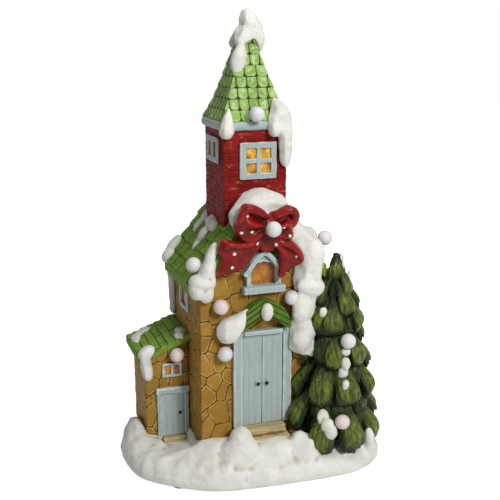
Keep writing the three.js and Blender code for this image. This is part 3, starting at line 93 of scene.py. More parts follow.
class ChurchColours(bpy.types.PropertyGroup):
    """Paints of the church."""
    snow: colour("Snow", "Snow on the high parts", 0.75, 0.75, 0.69)
    # The beige of the painted shade in the hollows of the snow, and of its random patches
    snow_shade_and_wash: colour("Snow wash", "Beige wash in the hollows of the snow", 0.40, 0.36, 0.27)
    stone: colour("Stone", "Faces of the flagstones", 0.36, 0.195, 0.034)
    stone_light: colour("Stone rims", "Dry-brushed rims of the flagstones", 0.58, 0.39, 0.13)
    stone_crack: colour("Stone cracks", "Cracks between the flagstones", 0.060, 0.032, 0.008)
    brick: colour("Brick", "Tower bricks", 0.27, 0.019, 0.016)
    brick_scratch: colour("Brick scratches", "Pale brushing along the brick joints", 0.46, 0.14, 0.11)
    tile: colour("Tiles", "Steeple tiles", 0.27, 0.41, 0.10)
    tile_light: colour("Tile crowns", "Brushed crowns of the tiles", 0.50, 0.66, 0.34)
    slab: colour("Slabs", "Hall and annex roof", 0.16, 0.28, 0.040)
    slab_light: colour("Slab crowns", "Brushed crowns of the slabs", 0.25, 0.40, 0.06)
    roof_joint: colour("Roof joints", "Joints between tiles, slabs and planks", 0.016, 0.030, 0.005)
    trim: colour("Trim", "Doors, frames and cornice", 0.38, 0.46, 0.44)
    # The brown of the painted shade in the hollows of the trim, and of the plank joints of the doors
    trim_shade_and_joints: colour("Trim wash", "Brown wash in the hollows of the trim", 0.12, 0.11, 0.075)
    trim_light: colour("Trim rims", "Brushed rims of the trim", 0.62, 0.69, 0.69)
    fir: colour("Fir", "Fir boughs", 0.008, 0.015, 0.004)
    fir_tip: colour("Fir tips", "Brushed tips of the boughs", 0.19, 0.25, 0.03)
    bow: colour("Bow", "Ribbon of the bow", 0.24, 0.006, 0.004)
    # Painted highlight on the rims of the bow's folds
    bow_highlight: colour("Bow rims", "Rims of the bow's folds", 0.42, 0.008, 0.008)
    amber: colour("Amber", "Window panes of the hall and annex", 0.52, 0.20, 0.008)
    amber_bright: colour("Bright amber", "Window panes of the tower", 0.92, 0.50, 0.05)
    amber_deep: colour("Deep amber", "Shaded parts of the panes", 0.27, 0.055, 0.006)
    globe: colour("Globe", "Frosted globes", 0.70, 0.68, 0.67)
    globe_warm: colour("Warm globe", "Globes with a pink tint", 0.74, 0.62, 0.58)
    timber: colour("Timber", "Steps", 0.60, 0.46, 0.24)
    plastic: colour("Plastic", "Battery box and switch", 0.012, 0.012, 0.013)


def sizes():
    return bpy.context.scene.church_sizes


def colours():
    return bpy.context.scene.church_colours


# Number fields over arrays of points

def smooth(value):
    """Three t squared minus two t cubed, with t held between nought and one."""
    t = np.clip(value, 0.0, 1.0)
    return t * t * (3.0 - 2.0 * t)


def groove(away, width):
    """One on a line, falling smoothly to nought at that distance from it."""
    return 1.0 - smooth(away / width)


# Large odd numbers, one for each key, and the bits that are kept while they are mixed
KEY_PRIMES = (374761393, 668265263, 974634777, 69069)
LOW_BITS = 0xFFFFFFFF


def chance(*keys):
    """A fixed random number from nought to one for each set of up to four whole-number keys."""
    mixed = sum(np.asarray(key).astype(np.int64) * prime for key, prime in zip(keys, KEY_PRIMES))
    mixed = (mixed ^ (mixed >> 13)) * 1274126177 & LOW_BITS
    mixed = (mixed ^ (mixed >> 16)) * 73244475 & LOW_BITS
    return (mixed ^ (mixed >> 15)) % 65536 / 65535.0


def lumps(points, size, seed):
    """Value noise: chance values on a cubic lattice of that size, blended by smooth steps, from -1 to 1."""
    place = points / size
    base = np.floor(place).astype(np.int64)
    part = smooth(place - base)
    total = np.zeros(points.shape[:-1])
    for corner in np.ndindex(2, 2, 2):
        weight = np.prod(np.where(np.array(corner) == 1, part, 1.0 - part), axis=-1)
        spot = base + np.array(corner)
        total += weight * chance(spot[..., 0], spot[..., 1], spot[..., 2], seed)
    return 2.0 * total - 1.0


def flagstones(u, v, size, seed):
    """Irregular stones: the plane is shared out among jittered seeds, one to a cell of a square grid.
    Returns each point's distance to the crack, which is half the difference of the squared distances to
    its two nearest seeds over the distance between those seeds, and a tone for its stone."""
    column = np.floor(u / size)
    row = np.floor(v / size)
    near = np.full(u.shape, np.inf)
    following = np.full(u.shape, np.inf)
    near_seed = np.zeros(u.shape + (2,))
    following_seed = np.zeros(u.shape + (2,))
    tone = np.zeros(u.shape)
    for across in (-1, 0, 1):
        for up in (-1, 0, 1):
            i, j = column + across, row + up
            spot = np.stack([
                (i + 0.1 + 0.8 * chance(i, j, seed)) * size,
                (j + 0.1 + 0.8 * chance(i, j, seed + 7)) * size,
            ], -1)
            away = (u - spot[..., 0]) ** 2 + (v - spot[..., 1]) ** 2
            closer = away < near
            second = ~closer & (away < following)
            following_seed = np.where(second[..., None], spot, following_seed)
            following_seed = np.where(closer[..., None], near_seed, following_seed)
            following = np.where(closer, near, np.where(second, away, following))
            near_seed = np.where(closer[..., None], spot, near_seed)
            near = np.where(closer, away, near)
            tone = np.where(closer, chance(i, j, seed + 13), tone)
    gap = np.linalg.norm(following_seed - near_seed, axis=-1)
    return (following - near) / (2.0 * np.maximum(gap, 1e-6)), tone


def tiles(up_slope, across, course, width, corner):
    """Lapped tiles with rounded lower corners, each row shifted by half a tile.
    Returns the height above the lower edge as a share of the course, the distance inside the tile's
    outline, which near a lower corner is measured from the corner's circle, and a tone for each tile."""
    row = np.floor(up_slope / course)
    above = up_slope - row * course
    place = across / width + 0.5 * (row % 2) + 0.12 * (chance(row, 3) - 0.5)
    column = np.floor(place)
    side = (0.5 - np.abs(place - column - 0.5)) * width
    inside = np.minimum(side, above)
    at_corner = (side < corner) & (above < corner)
    inside = np.where(at_corner, corner - np.hypot(corner - side, corner - above), inside)
    return above / course, inside, chance(row, column, 5)


# Mesh making

def quads(rows, columns, wrap_rows, wrap_columns):
    """Corner numbers of every face of a grid whose points run row by row."""
    i = np.arange(rows if wrap_rows else rows - 1)
    j = np.arange(columns if wrap_columns else columns - 1)
    i, j = np.meshgrid(i, j, indexing="ij")
    below, beside = (i + 1) % rows, (j + 1) % columns
    corners = [i * columns + j, below * columns + j, below * columns + beside, i * columns + beside]
    return np.stack(corners, -1).reshape(-1, 4)


def set_points(mesh, points):
    mesh.vertices.foreach_set("co", np.ascontiguousarray(points, np.float32).ravel())


def set_marks(mesh, marks):
    """Named numbers, one for each point, which the paints read."""
    for mark, values in marks.items():
        data = mesh.attributes.new(mark, "FLOAT", "POINT").data
        data.foreach_set("value", np.ascontiguousarray(values, np.float32).ravel())


def shade_smooth(mesh, sharp):
    """Smooth faces, with the edges over that angle in degrees kept sharp; none are at 180."""
    mesh.polygons.foreach_set("use_smooth", np.ones(len(mesh.polygons), bool))
    if sharp < 180.0:
        mesh.set_sharp_from_angle(angle=math.radians(sharp))


def in_scene(name, mesh):
    obj = bpy.data.objects.new(name, mesh)
    bpy.context.scene.collection.objects.link(obj)
    return obj


def mesh_from(name, points, faces, marks=None):
    """A mesh object from an array of points, an array of four-cornered faces and named numbers per point."""
    mesh = bpy.data.meshes.new(name)
    mesh.vertices.add(len(points))
    set_points(mesh, points)
    mesh.loops.add(faces.size)
    mesh.loops.foreach_set("vertex_index", faces.ravel().astype(np.int32))
    mesh.polygons.add(len(faces))
    mesh.polygons.foreach_set("loop_start", np.arange(0, faces.size, faces.shape[1], dtype=np.int32))
    mesh.update(calc_edges=True)
    set_marks(mesh, marks or {})
    return in_scene(name, mesh)


def close_up(obj, sharp):
    """Seams and poles are merged, faces turned outwards, and edges over an angle kept sharp."""
    work = bmesh.new()
    work.from_mesh(obj.data)
    bmesh.ops.remove_doubles(work, verts=work.verts, dist=2e-6)
    bmesh.ops.dissolve_degenerate(work, edges=work.edges, dist=1e-7)
    bmesh.ops.recalc_face_normals(work, faces=work.faces)
    work.to_mesh(obj.data)
    work.free()
    shade_smooth(obj.data, sharp)
    return obj


def sheet(name, grid, wrap_rows=False, wrap_columns=True, marks=None, sharp=180.0):
    """One grid of points becomes a closed piece."""
    rows, columns = grid.shape[:2]
    faces = quads(rows, columns, wrap_rows, wrap_columns)
    return close_up(mesh_from(name, grid.reshape(-1, 3), faces, marks), sharp)


def many(name, grids, marks=None, sharp=180.0):
    """Grids of one size, stacked in a first axis and joined round in their columns, become one piece."""
    count, rows, columns = grids.shape[:3]
    faces = quads(rows, columns, False, True)
    shifts = np.arange(count)[:, None, None] * rows * columns
    faces = (faces[None] + shifts).reshape(-1, 4)
    return close_up(mesh_from(name, grids.reshape(-1, 3), faces, marks), sharp)


def read(items, field, width, kind):
    """A field of all the points or edges of a mesh, as an array with a row for each."""
    values = np.empty(len(items) * width, kind)
    items.foreach_get(field, values)
    return values.reshape(-1, width)


def corners_of(mesh):
    """The points, their normals, and the numbers of the two points of each edge."""
    points = read(mesh.vertices, "co", 3, np.float32).astype(float)
    normals = read(mesh.vertices, "normal", 3, np.float32).astype(float)
    return points, normals, read(mesh.edges, "vertices", 2, np.int32)


def spread(values, edges, count, rounds):
    """Each point's value moves to the mean of its neighbours' values, a number of times."""
    degree = np.maximum(np.bincount(edges.ravel(), minlength=count), 1)
    ways = ((edges[:, 0], edges[:, 1]), (edges[:, 1], edges[:, 0]))
    for _ in range(rounds):
        values = sum(np.bincount(here, values[there], count) for here, there in ways) / degree
    return values


def hollows(points, normals, edges):
    """How far each point lies below its smoothed surroundings, along its normal: positive in hollows."""
    count = len(points)
    soft = np.stack([spread(points[:, axis], edges, count, 4) for axis in range(3)], -1)
    return spread(np.sum((soft - points) * normals, -1), edges, count, 1)


def add_shell(work, grid):
    """A grid, its columns joined round and its end rows drawn to a point, joins the mesh being made."""
    rows, columns = grid.shape[:2]
    shell = bpy.data.meshes.new("shell")
    shell.from_pydata(grid.reshape(-1, 3).tolist(), [], quads(rows, columns, False, True).tolist())
    work.from_mesh(shell)
    bpy.data.meshes.remove(shell)


def cast(name, nodes, voxel, rounds, relief=None, shells=()):
    """Copies of CAD nodes and further shells, merged and recast on a fine grid with softened edges. relief
    gives, for the points and normals, the distance to move along the normal and a dict of marks."""
    work = bmesh.new()
    for node in nodes:
        work.from_mesh(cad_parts[node].data)
    for grid in shells:
        add_shell(work, grid)
    bmesh.ops.remove_doubles(work, verts=work.verts, dist=1e-6)
    rough = bpy.data.meshes.new(name + "_rough")
    work.to_mesh(rough)
    work.free()
    obj = in_scene(name, rough)
    grain = obj.modifiers.new("Grain", "REMESH")
    grain.mode = "VOXEL"
    grain.voxel_size = voxel
    soften = obj.modifiers.new("Soften", "SMOOTH")
    soften.factor = 0.6
    soften.iterations = rounds
    fine = bpy.data.meshes.new_from_object(obj.evaluated_get(bpy.context.evaluated_depsgraph_get()))
    obj.modifiers.clear()
    obj.data = fine
    bpy.data.meshes.remove(rough)
    points, normals, edges = corners_of(fine)
    marks = {}
    if relief is not None:
        move, marks = relief(points, normals)
        set_points(fine, points + normals * move[:, None])
        fine.update()
        points, normals, edges = corners_of(fine)
    marks["hollow"] = hollows(points, normals, edges) / voxel
    set_marks(fine, marks)
    shade_smooth(fine, 180.0)
    return obj


def place(obj, material, slot, nodes=(), body=HOUSE):
    """The piece gets its paint and its body, and the CAD nodes that it stands for are hidden. The slot is not
    used.
    """
    obj.data.materials.clear()
    obj.data.materials.append(material)
    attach(obj, body)
    if nodes:
        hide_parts(*nodes)
    return obj


def recast(node, ending, voxel, rounds, relief, material, slot):
    """One CAD node, cast anew by itself, gives way to the piece named after it."""
    place(cast(node + ending, [node], voxel, rounds, relief), material, slot, [node])


def paint_node(node, material):
    """A CAD node keeps its shape and gets a paint."""
    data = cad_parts[node].data
    data.materials.clear()
    data.materials.append(material)


# Paints

def shade(paint, factor):
    """A paint made darker or lighter."""
    return tuple(value * factor for value in paint)


class Nodes:
    """A node tree, with a short way to add to it and to set its sockets."""

    def __init__(self, tree):
        self.tree = tree

    def feed(self, socket, value):
        """A socket gets a link from another one, or else a number, a vector or a colour."""
        if isinstance(value, bpy.types.NodeSocket):
            self.tree.links.new(value, socket)
        elif socket.type == "RGBA":
            socket.default_value = (*value, 1.0)
        else:
            socket.default_value = value

    def fill(self, node, inputs):
        for socket, value in inputs.items():
            self.feed(node.inputs[socket], value)

    def add(self, kind, inputs, **settings):
        node = self.tree.nodes.new(kind)
        for setting, value in settings.items():
            setattr(node, setting, value)
        self.fill(node, inputs)
        return node


class Paint(Nodes):
    """A material on object coordinates, with short ways to add its nodes."""

    def __init__(self, name, roughness, coat=0.0, specular=0.25):
        self.material = bpy.data.materials.new(name)
        self.material.use_nodes = True
        super().__init__(self.material.node_tree)
        self.shader = self.tree.nodes["Principled BSDF"]
        self.fill(self.shader, {
            "Roughness": roughness, "Specular IOR Level": specular, "Coat Weight": coat,
            "Coat Roughness": 0.25})
        self.here = self.add("ShaderNodeTexCoord", {}).outputs["Object"]

    def stretched(self, x, y, z):
        return self.add("ShaderNodeMapping", {"Vector": self.here, "Scale": (x, y, z)}).outputs["Vector"]

    def noise(self, size, detail=3.0, where=None, contrast=(0.35, 0.65)):
        """Noise with features of that size in metres, spread over nought to one."""
        inputs = {"Vector": where or self.here, "Scale": 1.0 / size, "Detail": detail, "Roughness": 0.55}
        raw = self.add("ShaderNodeTexNoise", inputs).outputs["Fac"]
        return self.span(raw, *contrast)

    def mark(self, name):
        return self.add("ShaderNodeAttribute", {}, attribute_name=name).outputs["Fac"]

    def span(self, value, low, high, new_low=0.0, new_high=1.0):
        """The value from low to high becomes a smooth step from new_low to new_high."""
        inputs = {"Value": value, "From Min": low, "From Max": high, "To Min": new_low, "To Max": new_high}
        return self.add("ShaderNodeMapRange", inputs, interpolation_type="SMOOTHSTEP").outputs["Result"]

    def sum(self, first, second, operation="ADD"):
        """Sums and products are held between nought and one, differences aren't."""
        clamp = operation != "SUBTRACT"
        math_node = self.add("ShaderNodeMath", {0: first, 1: second}, operation=operation, use_clamp=clamp)
        return math_node.outputs[0]

    def times(self, first, second):
        return self.sum(first, second, "MULTIPLY")

    def blend(self, factor, low, high):
        return self.add("ShaderNodeMix", {0: factor, 6: low, 7: high}, data_type="RGBA").outputs[2]

    def colour(self, value):
        self.feed(self.shader.inputs["Base Color"], value)

    def bump(self, height, depth, strength, over=None):
        inputs = {"Height": height, "Distance": depth, "Strength": strength}
        if over is not None:
            inputs["Normal"] = over
        out = self.add("ShaderNodeBump", inputs).outputs["Normal"]
        self.feed(self.shader.inputs["Normal"], out)
        return out


def snow_paint():
    """Matt off-white with beige painted shade in the hollows, beige patches and a fine grain, made once for
    all the snow.
    """
    if "Snow" in bpy.data.materials:
        return bpy.data.materials["Snow"]
    c = colours()
    p = Paint("Snow", 0.62, specular=0.15)
    # Painted shade: the hollows of the snow turn beige; the noise patches add a beige tone at random.
    hollow = p.span(p.mark("hollow"), 0.0, 0.24)
    patches = p.noise(0.022, 4.0)
    wash = p.sum(p.times(hollow, 0.8), p.times(patches, 0.28))
    p.colour(p.blend(wash, c.snow, c.snow_shade_and_wash))
    grain = p.bump(p.noise(0.004, 3.0), 0.0003, 0.4)
    p.bump(p.noise(0.012, 2.0), 0.0010, 0.5, grain)
    return p.material


def stone_paint():
    """Ochre stones: a tone for each stone, brushed light rims, thin dark cracks and fine pits."""
    c = colours()
    p = Paint("Flagstone", 0.6, specular=0.1)
    away = p.sum(p.mark("away"), p.times(p.noise(0.003, 3.0), 0.25), "SUBTRACT")
    crack = p.span(away, 0.25, 0.80, 1.0, 0.0)
    rim = p.times(p.span(away, 0.65, 1.05), p.span(away, 1.2, 2.2, 1.0, 0.0))
    patches = p.noise(0.014, 5.0)
    face = p.blend(p.mark("tone"), shade(c.stone, 0.85), shade(c.stone, 1.15))
    face = p.blend(p.times(patches, 0.4), face, shade(c.stone, 0.62))
    worn = p.times(rim, p.noise(0.012, 4.0, contrast=(0.42, 0.6)))
    face = p.blend(p.times(worn, 0.9), face, c.stone_light)
    p.colour(p.blend(crack, face, c.stone_crack))
    p.bump(p.noise(0.004, 5.0), 0.0006, 0.7)
    return p.material


def brick_paint():
    """Dark red satin bricks with broken pale scratches along the joints."""
    c = colours()
    p = Paint("Brick", 0.42, specular=0.012)
    away = p.mark("away")
    joint = p.span(away, 0.1, 0.7, 1.0, 0.0)
    rim = p.times(p.span(away, 0.35, 0.7), p.span(away, 0.8, 1.3, 1.0, 0.0))
    face = p.blend(p.times(p.noise(0.02, 4.0), 0.6), c.brick, shade(c.brick, 0.5))
    broken = p.noise(0.010, 4.0, p.stretched(1.0, 1.0, 2.0), (0.54, 0.66))
    face = p.blend(p.times(p.times(rim, broken), 0.8), face, c.brick_scratch)
    p.colour(p.blend(p.times(joint, 0.85), face, shade(c.brick, 0.15)))
    p.bump(p.noise(0.003, 4.0), 0.0004, 0.6)
    return p.material


def roof_paint(name, face, light, brushing, joint_width=1.1):
    """Green roof: a tone for each tile, crowns and lower edges brushed paler, and dark joints."""
    c = colours()
    p = Paint(name, 0.5, specular=0.015)
    away = p.sum(p.mark("away"), p.times(p.noise(0.003, 3.0), 0.3), "SUBTRACT")
    joint = p.span(away, 0.15, joint_width, 1.0, 0.0)
    crown = p.span(away, 0.7, 2.6)
    base = p.blend(p.mark("tone"), shade(face, 0.8), shade(face, 1.15))
    streaks = p.noise(0.006, 5.0, contrast=(0.42, 0.66))
    lower = p.times(p.span(away, 0.5, 0.9), p.span(p.mark("share"), 0.05, 0.30, 1.0, 0.0))
    brushed = p.sum(p.times(crown, p.times(streaks, brushing)), p.times(lower, 0.55 * brushing))
    base = p.blend(brushed, base, light)
    p.colour(p.blend(p.times(joint, 0.92), base, c.roof_joint))
    p.bump(p.noise(0.0035, 4.0), 0.0005, 0.7)
    return p.material


def trim_paint():
    """Pale grey-blue with brush streaks, brown painted shade in the hollows, worn rims and black knobs."""
    c = colours()
    p = Paint("Trim", 0.5, specular=0.15)
    streaks = p.noise(0.003, 4.0, p.stretched(1.0, 1.0, 0.09))
    face = p.blend(p.times(streaks, 0.5), c.trim, shade(c.trim, 0.78))
    rims = p.span(p.mark("hollow"), -0.08, -0.30)
    face = p.blend(p.times(rims, 0.7), face, c.trim_light)
    # Painted shade: the hollows turn brown, as do the plank joints.
    dark = p.sum(p.span(p.mark("hollow"), 0.06, 0.26), p.mark("joint"))
    face = p.blend(p.times(dark, 0.8), face, c.trim_shade_and_joints)
    p.colour(p.blend(p.mark("knob"), face, (0.006, 0.006, 0.006)))
    p.bump(streaks, 0.0004, 0.6)
    return p.material


def timber_paint():
    """Cream planks with long brown grain, and dark painted shade in the hollows."""
    c = colours()
    p = Paint("Timber", 0.55)
    grain = p.noise(0.004, 5.0, p.stretched(0.1, 1.0, 1.0))
    face = p.blend(p.times(grain, 0.75), c.timber, shade(c.timber, 0.5))
    # Painted shade: the hollows of the steps turn dark brown.
    dark = p.span(p.mark("hollow"), 0.03, 0.2)
    p.colour(p.blend(dark, face, (0.16, 0.09, 0.03)))
    p.bump(grain, 0.0006, 0.8)
    return p.material


def fir_paint():
    """Nearly black glossy green whose ridges are brushed yellow-green towards the tips."""
    c = colours()
    p = Paint("Fir", 0.26, 0.0, 0.12)
    strokes = p.noise(0.0028, 3.0, p.stretched(1.0, 1.0, 0.16), (0.36, 0.64))
    ridge = p.mark("ridge")
    face = p.blend(p.times(strokes, 0.6), c.fir, shade(c.fir, 3.0))
    brushed = p.times(p.mark("tip"), p.sum(p.times(ridge, 0.4), p.times(strokes, 0.45)))
    p.colour(p.blend(brushed, face, c.fir_tip))
    p.bump(strokes, 0.0006, 0.8)
    return p.material


def bow_paint():
    """Glossy red, with a painted highlight along the rims of the folds and painted shade in their hollows."""
    c = colours()
    p = Paint("Ribbon", 0.2, 0.0, 0.16)
    hollow = p.mark("hollow")
    patches = p.noise(0.012, 3.0, contrast=(0.4, 0.6))
    face = p.blend(p.times(patches, 0.6), c.bow, shade(c.bow, 0.25))
    # Painted highlight: the rims of the folds turn a lighter red.
    face = p.blend(p.times(p.span(hollow, -0.06, -0.34), 0.8), face, c.bow_highlight)
    # Painted shade: the hollows of the folds turn a nearly black red.
    p.colour(p.blend(p.times(p.span(hollow, 0.0, 0.24), 0.92), face, shade(c.bow, 0.1)))
    p.bump(p.noise(0.006, 3.0), 0.0006, 0.5)
    return p.material


def dot_paint():
    """Cream dots, slightly mottled."""
    p = Paint("Ribbon_dots", 0.4)
    p.colour(p.blend(p.noise(0.001, 2.0), (0.86, 0.84, 0.80), (0.70, 0.67, 0.62)))
    return p.material


def amber_paint(name, bright):
    """Mottled amber with deeper patches."""
    c = colours()
    p = Paint(name, 0.3, 0.3)
    cloud = p.noise(0.0065, 4.0, contrast=(0.38, 0.62))
    face = p.blend(cloud, bright, shade(bright, 0.62))
    deep = p.noise(0.016, 2.0, contrast=(0.45, 0.6))
    p.colour(p.blend(p.times(deep, 0.8), face, c.amber_deep))
    p.bump(p.noise(0.004, 3.0), 0.0005, 0.6)
    return p.material


def globe_paint(name, tint):
    """Frosted white, waxy, with a faint unevenness."""
    p = Paint(name, 0.45, 0.15)
    p.colour(p.blend(p.times(p.noise(0.006, 3.0), 0.4), tint, shade(tint, 0.9)))
    p.fill(p.shader, {
        "Subsurface Weight": 0.2, "Subsurface Radius": (1.0, 0.9, 0.85), "Subsurface Scale": 0.002})
    p.bump(p.noise(0.0012, 2.0), 0.0001, 0.5)
    return p.material


def plain_paint(name, face, roughness, grain, metal=0.0):
    """A moulded or drawn surface with a slight change of tone and a fine grain."""
    p = Paint(name, roughness)
    p.fill(p.shader, {"Metallic": metal})
    p.colour(p.blend(p.times(p.noise(grain * 4.0, 3.0), 0.5), face, shade(face, 0.75)))
    p.bump(p.noise(grain, 3.0), grain * 0.1, 0.6)
    return p.material


# Places shared by several pieces

def box(node):
    low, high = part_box(node)
    return np.array(low), np.array(high)


def middle(node):
    low, high = box(node)
    return (low + high) / 2.0


def turns(count):
    """Angles of a whole turn in equal steps."""
    return np.arange(count) * 2 * math.pi / count


def unit(vectors):
    """Vectors of length one, in rows or singly."""
    return vectors / np.linalg.norm(vectors, axis=-1, keepdims=True)


def egg(centre, radii, tilt=0.0, turn=0.0, seed=1, rough=0.0, rows=22, columns=30):
    """An egg, sizes in millimetres: x = rx cos a cos b, y = rx cos a sin b and z = rz sin a, swollen by
    lumps, tilted about y and then turned about z."""
    a = np.linspace(-math.pi / 2, math.pi / 2, rows)
    a, b = np.meshgrid(a, turns(columns), indexing="ij")
    ball = np.stack([np.cos(a) * np.cos(b), np.cos(a) * np.sin(b), np.sin(a)], -1)
    ball = ball * (1.0 + rough * lumps(ball + seed, 0.7, seed))[..., None] * np.array(radii)
    turned_x = ball[..., 0] * math.cos(tilt) + ball[..., 2] * math.sin(tilt)
    turned_z = ball[..., 2] * math.cos(tilt) - ball[..., 0] * math.sin(tilt)
    x = turned_x * math.cos(turn) - ball[..., 1] * math.sin(turn)
    y = turned_x * math.sin(turn) + ball[..., 1] * math.cos(turn)
    return (np.stack([x, y, turned_z], -1) + np.array(centre)) * MM


def eggs(rows):
    return [egg(*row) for row in rows]


def bar(path, wide, front, back):
    """A bar along a path in x and z, sizes in millimetres: its section is a rectangle of that width in the
    plane, from the front to the back in y."""
    path = np.array(path, float)
    along = unit(np.gradient(path, axis=0))
    aside = np.stack([-along[:, 1], along[:, 0]], -1) * wide / 2.0
    ring = []
    for share, y in ((-1.0, front), (-1.0, back), (1.0, back), (1.0, front)):
        flat = path + aside * share
        ring.append(np.stack([flat[:, 0], np.full(len(path), y), flat[:, 1]], -1))
    grid = np.stack(ring, 1)
    ends = [np.broadcast_to(grid[row].mean(0), grid[:1].shape) for row in (0, -1)]
    return np.concatenate([ends[0], grid, ends[1]], 0) * MM


def humps(points, rows):
    """Sum of rounded humps, each its height times exp of minus the squared distance over the squared
    radius."""
    total = np.zeros(len(points))
    for centre, radius, height in rows:
        away = np.sum((points / MM - np.array(centre)) ** 2, -1)
        total += height * MM * np.exp(-away / radius ** 2)
    return total


def landing(obj, start, direction):
    """Where a line from a start meets a piece, and the piece's normal there."""
    tree = BVHTree.FromObject(obj, bpy.context.evaluated_depsgraph_get())
    spot, normal = tree.ray_cast(Vector(start), Vector(direction))[:2]
    if spot is None:
        raise RuntimeError("A line meets nothing on " + obj.name)
    return np.array(spot), np.array(normal)


# Snow

SNOW_NODES = (
    "snow_gable", "snow_roof_left", "snow_back_corner", "snow_hood", "snow_keystone", "snow_annex_corner",
    "snow_eave_left", "snow_eave_right", "snow_steeple_cap",
)


def snow_relief(points, normals):
    """Broad lumps and half-size ones along the normal, after a small push outwards."""
    s = sizes()
    broad = lumps(points, s.snow_lump, 3)
    fine = lumps(points, s.snow_lump * 0.45, 5)
    return s.snow_relief * (0.2 + 0.7 * broad + 0.3 * fine), {}


def base_relief(points, normals):
    """Scooped snow: broad lumps drawn out upwards, held still on the flat underside."""
    s = sizes()
    drawn = points * np.array([1.0, 1.0, 0.6])
    broad = lumps(drawn, s.snow_lump * 1.3, 17)
    fine = lumps(drawn, s.snow_lump * 0.55, 19)
    above = smooth((points[:, 2] - 4.0 * MM) / (10.0 * MM))
    return above * (s.snow_relief * (1.3 * broad + 0.8 * fine) + humps(points, BASE_HUMPS)), {}


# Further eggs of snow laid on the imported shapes, in millimetres: centre and radii, then tilt in radians
SNOW_EGGS = {
    "snow_gable": (
        ((3, -42, 296), (28, 12, 22)), ((57, -49, 243), (13.5, 10, 24), 0.05),
        ((56, -52, 212.5), (18.5, 9, 10.5), 0.25), ((45, -52, 190), (12, 8.5, 20)),
        ((50, -53, 165), (13, 8.5, 15)), ((45, -53, 154), (12.5, 8, 14), -0.4),
    ),
    "snow_back_corner": (((-66, 84, 238), (14, 7, 5), -0.9), ((-72, 82, 226), (10, 9, 7), -0.9)),
    "snow_steeple_cap": (((-8.5, 7, 456), (8, 6.5, 17), 0.28),),
}
# The snow beside the left roof globe, which it leaves in view: the same, then turn, seed and roughness
LEFT_SNOW = (
    ((-57, -43.5, 254), (5.5, 8, 16), 0.4, 0, 1, 0.08), ((-61, -43.5, 239), (8.5, 9, 15), 0.5, 0, 2, 0.1),
    ((-56, -43.5, 234), (5, 8, 16), -0.1, 0, 3, 0.1), ((-66, -43, 226), (14, 10.5, 11), 0.2, 0, 4, 0.1),
    ((-72, -43.5, 217.5), (8.5, 9.5, 10.5), 0, 0, 5, 0.1), ((-62, -43.5, 214.5), (10, 9, 11), 0, 0, 6, 0.1),
)
# Swells of the base: centre, radius and height in millimetres
BASE_HUMPS = (((-60, -2, 40), 9, 3), ((-108, -6, 36), 8, 3))
# Heaps before the steps, and the two small horns
BASE_EGGS = (
    ((8, -66, 12), (48, 25, 33)), ((-30, -62, 24), (26, 24, 27)), ((-28, -56, 38), (14, 14, 20.5)),
    ((40, -71, 24), (22, 20, 25)), ((37, -70, 36), (11, 12, 16)), ((42, -82, 38), (5.5, 6, 12), 0.75),
    ((117, -83, 34), (5.5, 6, 16), -0.12),
)
HEAP_FOOT = 20.0 * MM
DOORSTEP_RAMP = 0.26
# Rounds of softening: most masses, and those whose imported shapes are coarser
SNOW_ROUNDS = 7
MORE_ROUNDS = {"snow_gable": 20, "snow_roof_left": 16}


def clear_doorstep(obj):
    """The snow before the annex door sinks to a ramp that shows the doorstep: z = edge + 0.26 * (front - y),
    easing off beside the doorstep and towards the front of the base."""
    points = corners_of(obj.data)[0]
    low, high = box("annex_doorstep")
    ramp = low[2] + 2.5 * MM + DOORSTEP_RAMP * np.maximum(low[1] - points[:, 1], 0.0)
    beside = smooth((points[:, 0] - low[0] + 5.0 * MM) / (6.0 * MM))
    beside = beside * smooth((high[0] + 5.0 * MM - points[:, 0]) / (6.0 * MM))
    ahead = smooth((points[:, 1] + 46.0 * MM) / (14.0 * MM)) * (points[:, 1] < high[1])
    points[:, 2] -= np.maximum(points[:, 2] - ramp, 0.0) * beside * ahead
    set_points(obj.data, points)
    obj.data.update()


class CHURCH_OT_snow(bpy.types.Operator):
    """Cast the snow base and the masses of snow"""
    bl_idname = "church.snow"
    bl_label = "Snow"

    def execute(self, context):
        s = sizes()
        paint = snow_paint()
        heaps = eggs(BASE_EGGS)
        for heap in heaps:
            heap[..., 2] = np.maximum(heap[..., 2], HEAP_FOOT)
        base = cast("base_snow", ["base_casting"], s.snow_voxel, 8, base_relief, heaps)
        clear_doorstep(base)
        place(base, paint, "snow", ["base_casting"])
        for node in SNOW_NODES:
            rounds = MORE_ROUNDS.get(node, SNOW_ROUNDS)
            if node == "snow_roof_left":
                packed, more = [], eggs(LEFT_SNOW)
            else:
                packed, more = [node], eggs(SNOW_EGGS.get(node, ()))
            mass = cast(node + "_cast", packed, s.snow_voxel * 0.65, rounds, snow_relief, more)
            place(mass, paint, "snow", [node])
        return {"FINISHED"}


# Walls

STONE_GRAIN = 1.5 * MM
BRICK_GRAIN = 1.25 * MM
SWITCH_TRAVEL = 4.0 * MM
# Joints between bricks and between the hood's planks
JOINT_WIDTH = 1.1 * MM
JOINT_DEPTH = 0.7 * MM


def stone_relief(points, normals):
    """Flagstones over x + y and z, with wavering cracks and slightly uneven faces. Round the switch the
    stone draws back by a millimetre and a half, so that it slides freely."""
    s = sizes()
    low, high = box("power_switch")
    high = high + np.array([SWITCH_TRAVEL, 0.0, 0.0])
    from_switch = np.linalg.norm(np.maximum(np.maximum(low - points, points - high), 0.0), axis=-1)
    drawn_back = 1.5 * MM * groove(from_switch, 5.0 * MM)
    waver = 0.7 * MM * lumps(points, 16.0 * MM, 31)
    across = points[:, 0] + points[:, 1] + waver
    up = points[:, 2] * 0.92 + waver
    away, tone = flagstones(across, up, s.stone_size, 11)
    sunk = s.crack_depth * groove(away, s.crack_width * 1.3)
    uneven = 0.35 * MM * lumps(points, 9.0 * MM, 33) + 0.5 * MM * (tone - 0.6)
    return uneven - sunk - drawn_back, {"away": away / MM, "tone": tone}


